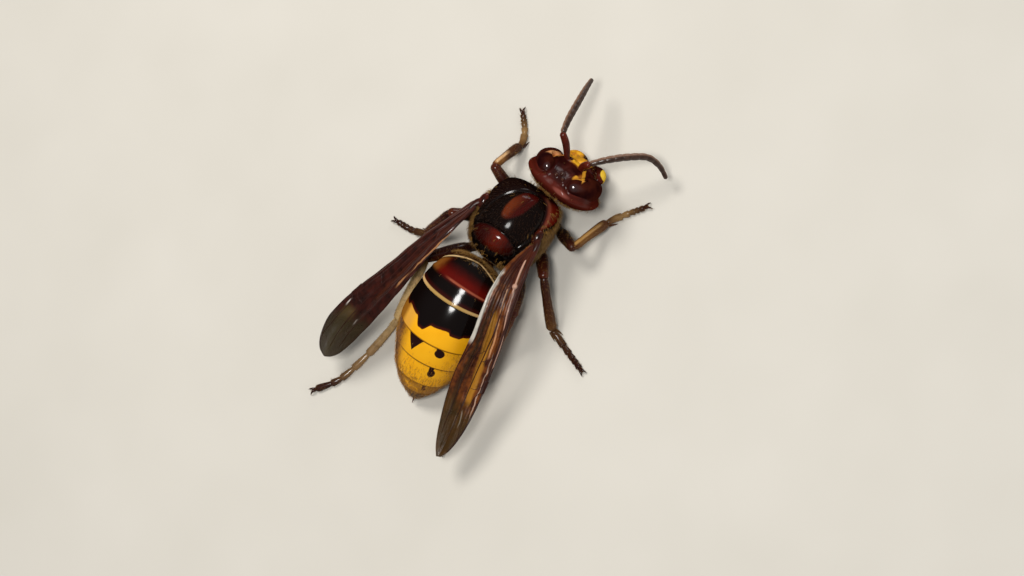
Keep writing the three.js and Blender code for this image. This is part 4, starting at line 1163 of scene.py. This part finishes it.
wingPaint = {  # base tones, then strokes: start, end, half width, colour, strength
    'left': {
        'tones': ('1c0703', '38120a', '2c2412'),
        'strokes': [
            ((0.05, 0.5), (0.62, 0.6), 0.12, '48200f', 0.6),
            # a line of pale beads along the inner edge and two white dots are painted highlights
            ((0.16, 0.99), (0.5, 0.86), 0.04, 'b07c50', 0.75),
            ((0.7, 0.16), (0.715, 0.16), 0.03, 'f4e8e0', 1.0),
            ((0.755, 0.66), (0.765, 0.66), 0.03, 'f4e8e0', 1.0),
            ((0.72, 0.3), (0.98, 0.5), 0.2, '5a4c26', 0.5),
        ],
    },
    'right': {
        'tones': ('32130c', '6e3a14', '38290c'),
        'strokes': [
            ((0.0, 0.4), (0.2, 0.55), 0.4, '42201a', 0.7),
            ((0.1, 0.12), (0.55, 0.0), 0.1, '3c2c32', 0.8),
            ((0.33, 0.52), (0.74, 0.3), 0.14, 'b07a24', 0.7),
            # a thin cream line along a pleat is a painted highlight
            ((0.22, 0.4), (0.52, 0.27), 0.03, 'cf986a', 0.65),
            ((0.28, 0.78), (0.78, 0.74), 0.12, '281a0a', 0.75),
            # the whitish inner fringe: frayed membrane, whitened further by a painted reflection
            ((0.16, 0.98), (0.48, 0.97), 0.1, 'c4bfb4', 0.9),
            # a white line along the front vein and a white stroke near the tip are painted highlights
            ((0.5, 0.18), (0.8, 0.07), 0.022, 'd8b49c', 0.6),
            ((0.785, 0.34), (0.84, 0.28), 0.03, 'f0e2d4', 0.9),
        ],
    },
}


def filmFinish(name, paint):
    finish = Finish(name)
    along, across = finish.marks('along', 'across')
    streak = finish.noise(0.8, 4.0, 0.6)
    wander = (finish.noise(1.2, 3.0) - 0.5) * 0.12
    dark, light, outer = paint['tones']
    base = finish.mix((streak + wander).rises(0.3, 0.7), dark, light)
    broken = (streak * 0.8 + 0.6).least(1.0)
    for start, end, half, tone, strength in paint['strokes']:
        slope = (end[1] - start[1]) / (end[0] - start[0])
        aside = abs(across + wander - (along - start[0]) * slope - start[1]) / half
        ends = along.rises(start[0] - 0.02, start[0] + 0.02) * along.rises(end[0] + 0.02, end[0] - 0.02)
        base = finish.mix(aside.rises(1.0, 0.35) * ends * broken * strength, base, tone)
    tip = (along + (across - 0.5) * 0.06 + wander * 0.3).rises(0.7, 0.8) * 0.8
    finish.set(
        Base_Color=finish.mix(tip, base, outer),
        Roughness=0.22 + streak * 0.16,
        Alpha=0.96 - along.rises(0.7, 0.95) * 0.16,
        Specular_IOR_Level=0.18,
        Coat_Weight=finish.facing().rises(0.3, 0.9) * 0.35,
        Coat_Roughness=0.1,
    )
    finish.bump(finish.noise(0.3, 3.0) * 0.7 + finish.pits(0.12) * 0.3, 0.025)
    return finish


def veinHorn():
    finish = Finish('wing_vein')
    along, pale = finish.marks('along', 'pale')
    base = finish.mix(along + finish.noise(1.2) * 0.4, '481c10', '240d08')
    # veins marked pale are painted cream: a painted highlight along the vein
    base = finish.mix(pale * along.rises(0.75, 0.5), base, 'b48c78')
    finish.set(Base_Color=base, Roughness=0.36, Specular_IOR_Level=0.25,
               Coat_Weight=pale * 0.25 + 0.06, Coat_Roughness=0.12)
    finish.bump(finish.noise(0.1), 0.006)
    return finish


films = {
    'left': filmFinish('smoky_wing_film', wingPaint['left']),
    'right': filmFinish('amber_wing_film', wingPaint['right']),
}
veinFinish = veinHorn()
wholeSpan = {'outer': 0.0, 'inner': 1.0, 'root': 0.0, 'tip': 1.0}
for label, side in bothSides:
    foreBlade = Blade(wings[label], wholeSpan, 0.0, wings['folds'][label])
    hindBlade = Blade(wings[label], wings['hindSpan'], wings['hindDrop'])
    film = filmSurface(foreBlade, fine(240), fine(90))
    addPiece(f'fore_film_{label}', film, films[label], 'wing_film', f'forewing_{label}')
    film = filmSurface(hindBlade, fine(150), fine(40))
    addPiece(f'hind_film_{label}', film, films[label], 'wing_film', f'hindwing_{label}')
    veins = [veinSurface(foreBlade, stations, radius) for stations, radius in wings['foreVeins']]
    veins += [veinSurface(hindBlade, stations, radius) for stations, radius in wings['hindVeins']]
    veins.append(veinSurface(foreBlade, wings['frontSpot'], 0.42, 0.25))
    if label == 'right':
        # the cream knot and vein: real veins with a painted highlight colour
        knot = ball(foreBlade.place(np.array(0.205), np.array(0.265))[0], (0.26, 0.3, 0.24))
        pale = together([veinSurface(foreBlade, wings['paleVein'], 0.12), knot])
        pale.marks['pale'] = np.ones(len(pale.points))
        pale.marks['along'][:] = 0.2
        veins.append(pale)
    rootPath = [at(0.35, side * 3.05, 6.5), at(-0.3, side * 3.85, 6.8), at(-1.4, side * 4.1, 6.95)]
    veins.append(limb(rootPath, [0.5, 0.42, 0.3, 0.15], 30, 20, flat=0.7))
    addPiece(f'wing_veins_{label}', together(veins), veinFinish, 'wing_film')
    scale = ball(at(0.25, side * 3.45, 6.7), (0.5, 0.85, 0.42), rows=40, sides=48)
    addPiece(f'wing_scale_{label}', scale, darkHorn, 'chitin_chestnut', f'tegula_{label}')
print('wings made')

# Legs: hip, thigh with its small ring joint, shin with spurs and bristles, foot of five joints

legs = {
    'front_left': {
        'hip': (3.0, 1.2, 3.2), 'socket': (2.5, 2.75, 1.95), 'knee': (3.79, 5.76, 3.75),
        'ankle': (7.0, 5.79, 0.85), 'foot': [(7.6, 5.95, 0.5), (8.6, 6.5, 0.27), (10.0, 7.75, 0.27)],
        'size': 0.92,
    },
    'front_right': {
        'hip': (3.0, -1.2, 3.2), 'socket': (2.35, -2.75, 1.95), 'knee': (1.42, -6.19, 3.75),
        'ankle': (5.49, -6.63, 0.85), 'foot': [(6.2, -6.9, 0.5), (7.3, -7.6, 0.27), (9.0, -8.85, 0.27)],
        'size': 0.92,
    },
    'middle_left': {
        'hip': (0.2, 1.3, 2.9), 'socket': (-0.3, 2.85, 1.6), 'knee': (-2.67, 6.57, 4.3),
        'ankle': (-5.74, 8.63, 0.85), 'foot': [(-6.0, 9.3, 0.5), (-6.35, 10.4, 0.27), (-6.5, 12.3, 0.27)],
        'size': 0.96,
    },
    'middle_right': {
        'hip': (0.2, -1.3, 2.9), 'socket': (-0.3, -2.7, 1.6), 'knee': (-2.64, -5.49, 4.0),
        'ankle': (-6.5, -8.36, 0.85),
        'foot': [(-6.75, -9.1, 0.5), (-7.24, -10.4, 0.27), (-8.1, -13.0, 0.27)],
        'size': 0.96,
    },
    'hind_left': {
        'hip': (-2.4, 1.2, 2.9), 'socket': (-3.3, 2.55, 1.75), 'knee': (-7.8, 5.9, 4.3),
        'ankle': (-14.68, 5.84, 0.95),
        'foot': [(-16.4, 6.1, 0.5), (-20.6, 6.8, 0.27), (-23.3, 7.6, 0.27), (-25.5, 9.1, 0.27)],
        'size': 1.05,
    },
    'hind_right': {
        'hip': (-2.4, -1.2, 2.9), 'socket': (-3.3, -2.55, 1.75), 'knee': (-7.6, -5.2, 4.3),
        'ankle': (-14.3, -5.1, 0.95),
        'foot': [(-15.9, -5.15, 0.5), (-19.3, -5.3, 0.27), (-21.0, -5.5, 0.27), (-22.8, -5.9, 0.27)],
        'size': 1.05,
    },
}
legSizes = {  # a radius for each piece and shares of it along the piece, then the foot's own sizes
    'coxa': (0.95, (0.95, 1.02, 0.9, 0.6)),
    'femur': (0.66, (0.74, 0.84, 0.72, 0.98, 1.04, 1.0, 0.92, 0.84, 0.8)),
    'tibia': (0.55, (0.7, 0.86, 0.84, 0.9, 0.98, 1.02, 0.96)),
    'tarsus': (0.4, (1, 0.95, 0.85, 0.85)),
    'claw': 0.8, 'clawSpread': 0.42, 'footJoints': [0, 0.42, 0.6, 0.74, 0.84, 1.0],
}


def legPart(kind, size, stations, rings, sides, **form):
    radius, shares = legSizes[kind]
    return limb(stations, [radius * size * share for share in shares], rings, sides, **form)


def footShape(share):  # each joint of the foot starts narrow and flares to its end
    joints = np.array(legSizes['footJoints'])
    index = np.clip(np.searchsorted(joints, share, side='right') - 1, 0, 4)
    local = (share - joints[index]) / (joints[index + 1] - joints[index])
    return 0.66 + 0.4 * np.sqrt(rise(local, 0, 0.9)) - 0.3 * rise(local, 0.965, 1.0)


def clawSurfaces(foot):
    toe, before = foot[-1], foot[-2]
    ahead = unit((toe - before) * (1, 1, 0))
    made = []
    for turn in (-legSizes['clawSpread'], legSizes['clawSpread']):
        out = np.array((ahead[0] * math.cos(turn) - ahead[1] * math.sin(turn),
                        ahead[0] * math.sin(turn) + ahead[1] * math.cos(turn), 0.0))
        arch = toe + out * 0.42 + (0, 0, 0.2)
        point = toe + out * legSizes['claw'] + (0, 0, -0.12)
        hook = limb([toe - ahead * 0.15, arch, point], [0.15, 0.13, 0.08, 0.02], 26, 12)
        hook.marks['along'] = hook.marks['along'] * 0.3 + 1.0
        made.append(hook)
    return made + [ball(toe + ahead * 0.22 + (0, 0, -0.05), (0.2, 0.2, 0.14), rows=14, sides=18)]


def spurSurfaces(ankle, lower, size, sides):  # at the lower end of the shin
    made = []
    for side in sides:
        sideways = unit(np.cross(lower, (0, 0, 1))) * side
        root = ankle + sideways * 0.3 + (0, 0, -0.2)
        tip = root + lower * 1.1 * size + sideways * 0.25 + (0, 0, -0.1)
        tip[2] = max(tip[2], 0.06)
        made.append(limb([root, tip], [0.12, 0.09, 0.02], 16, 10))
        made[-1].marks['along'][:] = 1.0
    return made


def legFinish(name, stops, gloss=0.34, streak=None):  # colours at shares along the piece, and a painted highlight streak down one side
    finish = Finish(name)
    along = finish.mark('along') + (finish.noise(0.5, 3.0) - 0.5) * 0.16
    base = stops[0][1]
    for (start, _), (end, tone) in zip(stops, stops[1:]):
        base = finish.mix(along.rises(start, end), base, tone)
    base = finish.mix(finish.noise(0.8, 3.0).rises(0.45, 0.75) * 0.4, base, '2a100a')
    if streak:
        # a pale streak down one side of the shin is a painted highlight
        start, end, around, tone = streak
        onPaintedHighlight = along.rises(start - 0.06, start + 0.06) * along.rises(end + 0.1, end - 0.1)
        onPaintedHighlight = onPaintedHighlight * (1 - abs(finish.mark('around') - around) / 0.2).rises(0.0, 0.7)
        base = finish.mix(onPaintedHighlight * 0.85, base, tone)
    hornGloss(finish, base, rough=gloss, coat=0.7, pitSize=0.11, pitDepth=0.006, level=0.06)
    return finish


shinFinishes = {
    'front_left': legFinish('shin_gold', [(0.0, '5a2c10'), (0.2, '8a5a2a'), (0.5, '4a2812'), (1.0, '3a1c0e')],
                            streak=(0.08, 0.5, 0.47, 'd8b080')),
    'front_right': legFinish('shin_tan', [(0.0, '3a160c'), (0.25, '6a4620'), (1.0, '4e2c16')],
                             streak=(0.05, 0.8, 0.45, 'a88048')),
    'middle_left': legFinish('shin_dark', [(0.0, '240c08'), (0.4, '3a140b'), (1.0, '3e1a0e')]),
    'middle_right': legFinish('shin_umber', [(0.0, '2e120a'), (0.5, '381a0c'), (1.0, '563618')]),
    'hind_left': legFinish('shin_straw', [(0.0, '8a5a2a'), (0.25, 'e6c48a'), (1.0, 'dcb87c')]),
    'hind_right': legFinish('shin_brown', [(0.0, '4e2010'), (0.4, '7a4c22'), (1.0, '8a6030')]),
}
footFinishes = {
    'front': legFinish('foot_pale', [(0.0, '5a3a1c'), (0.4, '8e6e44'), (1.0, '34180c')], 0.4),
    'middle': legFinish('foot_brown', [(0.0, '4a3018'), (0.5, '361e10'), (1.0, '280f08')], 0.4),
    'hind': legFinish('foot_tan', [(0.0, 'c0a070'), (0.5, '9a7850'), (0.85, '2e140c')], 0.4),
}
thighFinish = legFinish('thigh_horn', [(0.0, '140806'), (0.5, '260d08'), (1.0, '481c0f')])
darkThigh = legFinish('thigh_black', [(0.0, '0c0605'), (0.7, '180a07'), (1.0, '3a1a10')])
hipFinish = legFinish('hip_horn', [(0.0, '120806'), (0.6, '240d08'), (1.0, '34120a')])
legSkins = []
for label, leg in legs.items():
    hip, socket, knee, ankle = (at(*leg[name]) for name in ('hip', 'socket', 'knee', 'ankle'))
    foot, size = allAt(leg['foot']), leg['size']
    coxa = legPart('coxa', size, [hip, (hip + socket) / 2, socket], fine(56), 34, past=(0.4, 0.05))
    femur = legPart('femur', size, [socket, (socket + knee) / 2, knee], fine(56), 30,
                    past=(0.3, legSizes['femur'][0] * 0.4),
                    shape=lambda share: 1 - 0.14 * bell(share - 0.17, 0.02))  # its small ring joint
    shinPath = [knee, (knee + ankle) / 2 + (0, 0, 0.12), ankle]
    tibia = legPart('tibia', size, shinPath, fine(56), 28, past=(0.1, 0.12))
    spurs = spurSurfaces(ankle, unit(foot[0] - ankle), size, (1,) if label.startswith('front') else (-1, 1))
    tarsus = legPart('tarsus', size, [ankle] + foot, fine(200), 26, shape=footShape)
    tarsus = together([tarsus] + clawSurfaces(foot))
    tarsus.points[:, 2] = np.maximum(tarsus.points[:, 2], 0.0)
    legSkins += [coxa, femur, tibia, tarsus]
    addPiece(f'hip_{label}', coxa, hipFinish, 'leg_shell', f'leg_{label}_coxa')
    thigh = darkThigh if label == 'front_right' else thighFinish
    addPiece(f'thigh_{label}', femur, thigh, 'leg_shell', f'leg_{label}_femur')
    shin = together([tibia] + spurs)
    addPiece(f'shin_{label}', shin, shinFinishes[label], 'leg_shell', f'leg_{label}_tibia')
    addPiece(f'foot_{label}', tarsus, footFinishes[label.split('_')[0]], 'foot_shell', f'leg_{label}_tarsus')
print('legs made')


# Coats of hair over the shells: how densely each grows, from places and the faces' normals

def thoraxDensity(points, normals):
    left, forward, height = bodyParts(points)
    flanks = rise(np.abs(left), 2.4, 3.2) * (1 - rise(height, 6.4, 7.0))
    rearSlope = rise(-forward, 3.3, 4.0) * (0.03 + 0.3 * rise(np.abs(left - 0.5), 1.4, 2.4))
    under = 1 - rise(height, 3.0, 4.2)
    front = rise(forward, 2.6, 3.4) * (1 - rise(height, 6.3, 7.2))
    collarTop = rise((forward + 0.75 * height) / 1.25, 4.7, 4.9) * rise(height, 3.9, 4.6)
    shoulder = rise(left, 0.5, 1.5) * rise(forward, 1.2, 2.0)
    furry = 1.0 * flanks + 1.3 * rearSlope + 0.5 * under + 0.5 * front
    return 0.005 + furry * (1 - 0.97 * collarTop) * (1 - 0.9 * shoulder)


growHair(
    'thorax_hair', thoraxSkin, goldHair, 'chitin_black',
    {'seed': 3, 'tufts': 4600, 'strands': 3, 'length': 0.75, 'width': 0.035, 'lift': 0.75, 'stray': 0.35},
    thoraxDensity)
growHair(
    'shield_bristles', thoraxSkin, brownHair, 'chitin_black',
    {'seed': 5, 'tufts': 1500, 'strands': 1, 'length': 0.4, 'width': 0.022, 'lift': 0.8, 'stray': 0.3},
    lambda points, normals: rise(points[:, 2], 6.8, 7.4))


def headDensity(points, normals):
    left, up, out = headLocal(points)
    onFace = 1 - 0.9 * rise(out, 0.3, 0.9)
    furry = 0.015 + 1.2 * rise(-up, 0.6, 2.2) + 0.9 * rise(-out, 1.0, 1.6)
    return furry * rise(fromEyes(left, up, out), 1.05, 1.15) * onFace


growHair(
    'head_hair', headSkin, goldHair, 'head_shell',
    {'seed': 7, 'tufts': 3400, 'strands': 2, 'length': 0.5, 'width': 0.026, 'lift': 0.9, 'stray': 0.4},
    headDensity)


def gasterDensity(points, normals):
    left, forward, height = bodyParts(points)
    flanks = rise(-forward, 9.0, 14.0) * (0.02 + 0.9 * rise(np.abs(left - 0.1), 2.6, 4.0))
    return 0.015 + 1.2 * rise(-forward, 16.4, 18.8) + flanks + 0.3 * (normals[:, 2] < -0.1)


growHair(
    'gaster_hair', together(bellSkins[2:]), paleHair, 'gaster_yellow',
    {'seed': 11, 'tufts': 6000, 'strands': 2, 'length': 0.45, 'width': 0.017, 'lift': 0.5, 'stray': 0.25},
    gasterDensity)


def frontBellDensity(points, normals):
    left, forward, height = bodyParts(points)
    return 0.004 + 1.5 * rise(forward, -6.0, -5.1) * rise(height, 4.5, 6.0)


growHair(
    'front_bell_hair', bellSkins[0], goldHair, 'gaster_front',
    {'seed': 13, 'tufts': 1500, 'strands': 2, 'length': 0.45, 'width': 0.02, 'lift': 0.7, 'stray': 0.3},
    frontBellDensity)


def downLeg(points, normals):  # and outwards
    left, forward, height = bodyParts(points)
    return np.sign(left)[:, None] * (0.5, 0.0, 0.0) + (0.0, 0.0, -1.0)


growHair(
    'leg_hair', together(legSkins), goldHair, 'leg_shell',
    {'seed': 17, 'tufts': 8000, 'strands': 1, 'length': 0.36, 'width': 0.022, 'lift': 0.5, 'stray': 0.35},
    lambda points, normals: np.ones(len(points)), downLeg)
print('hair made')
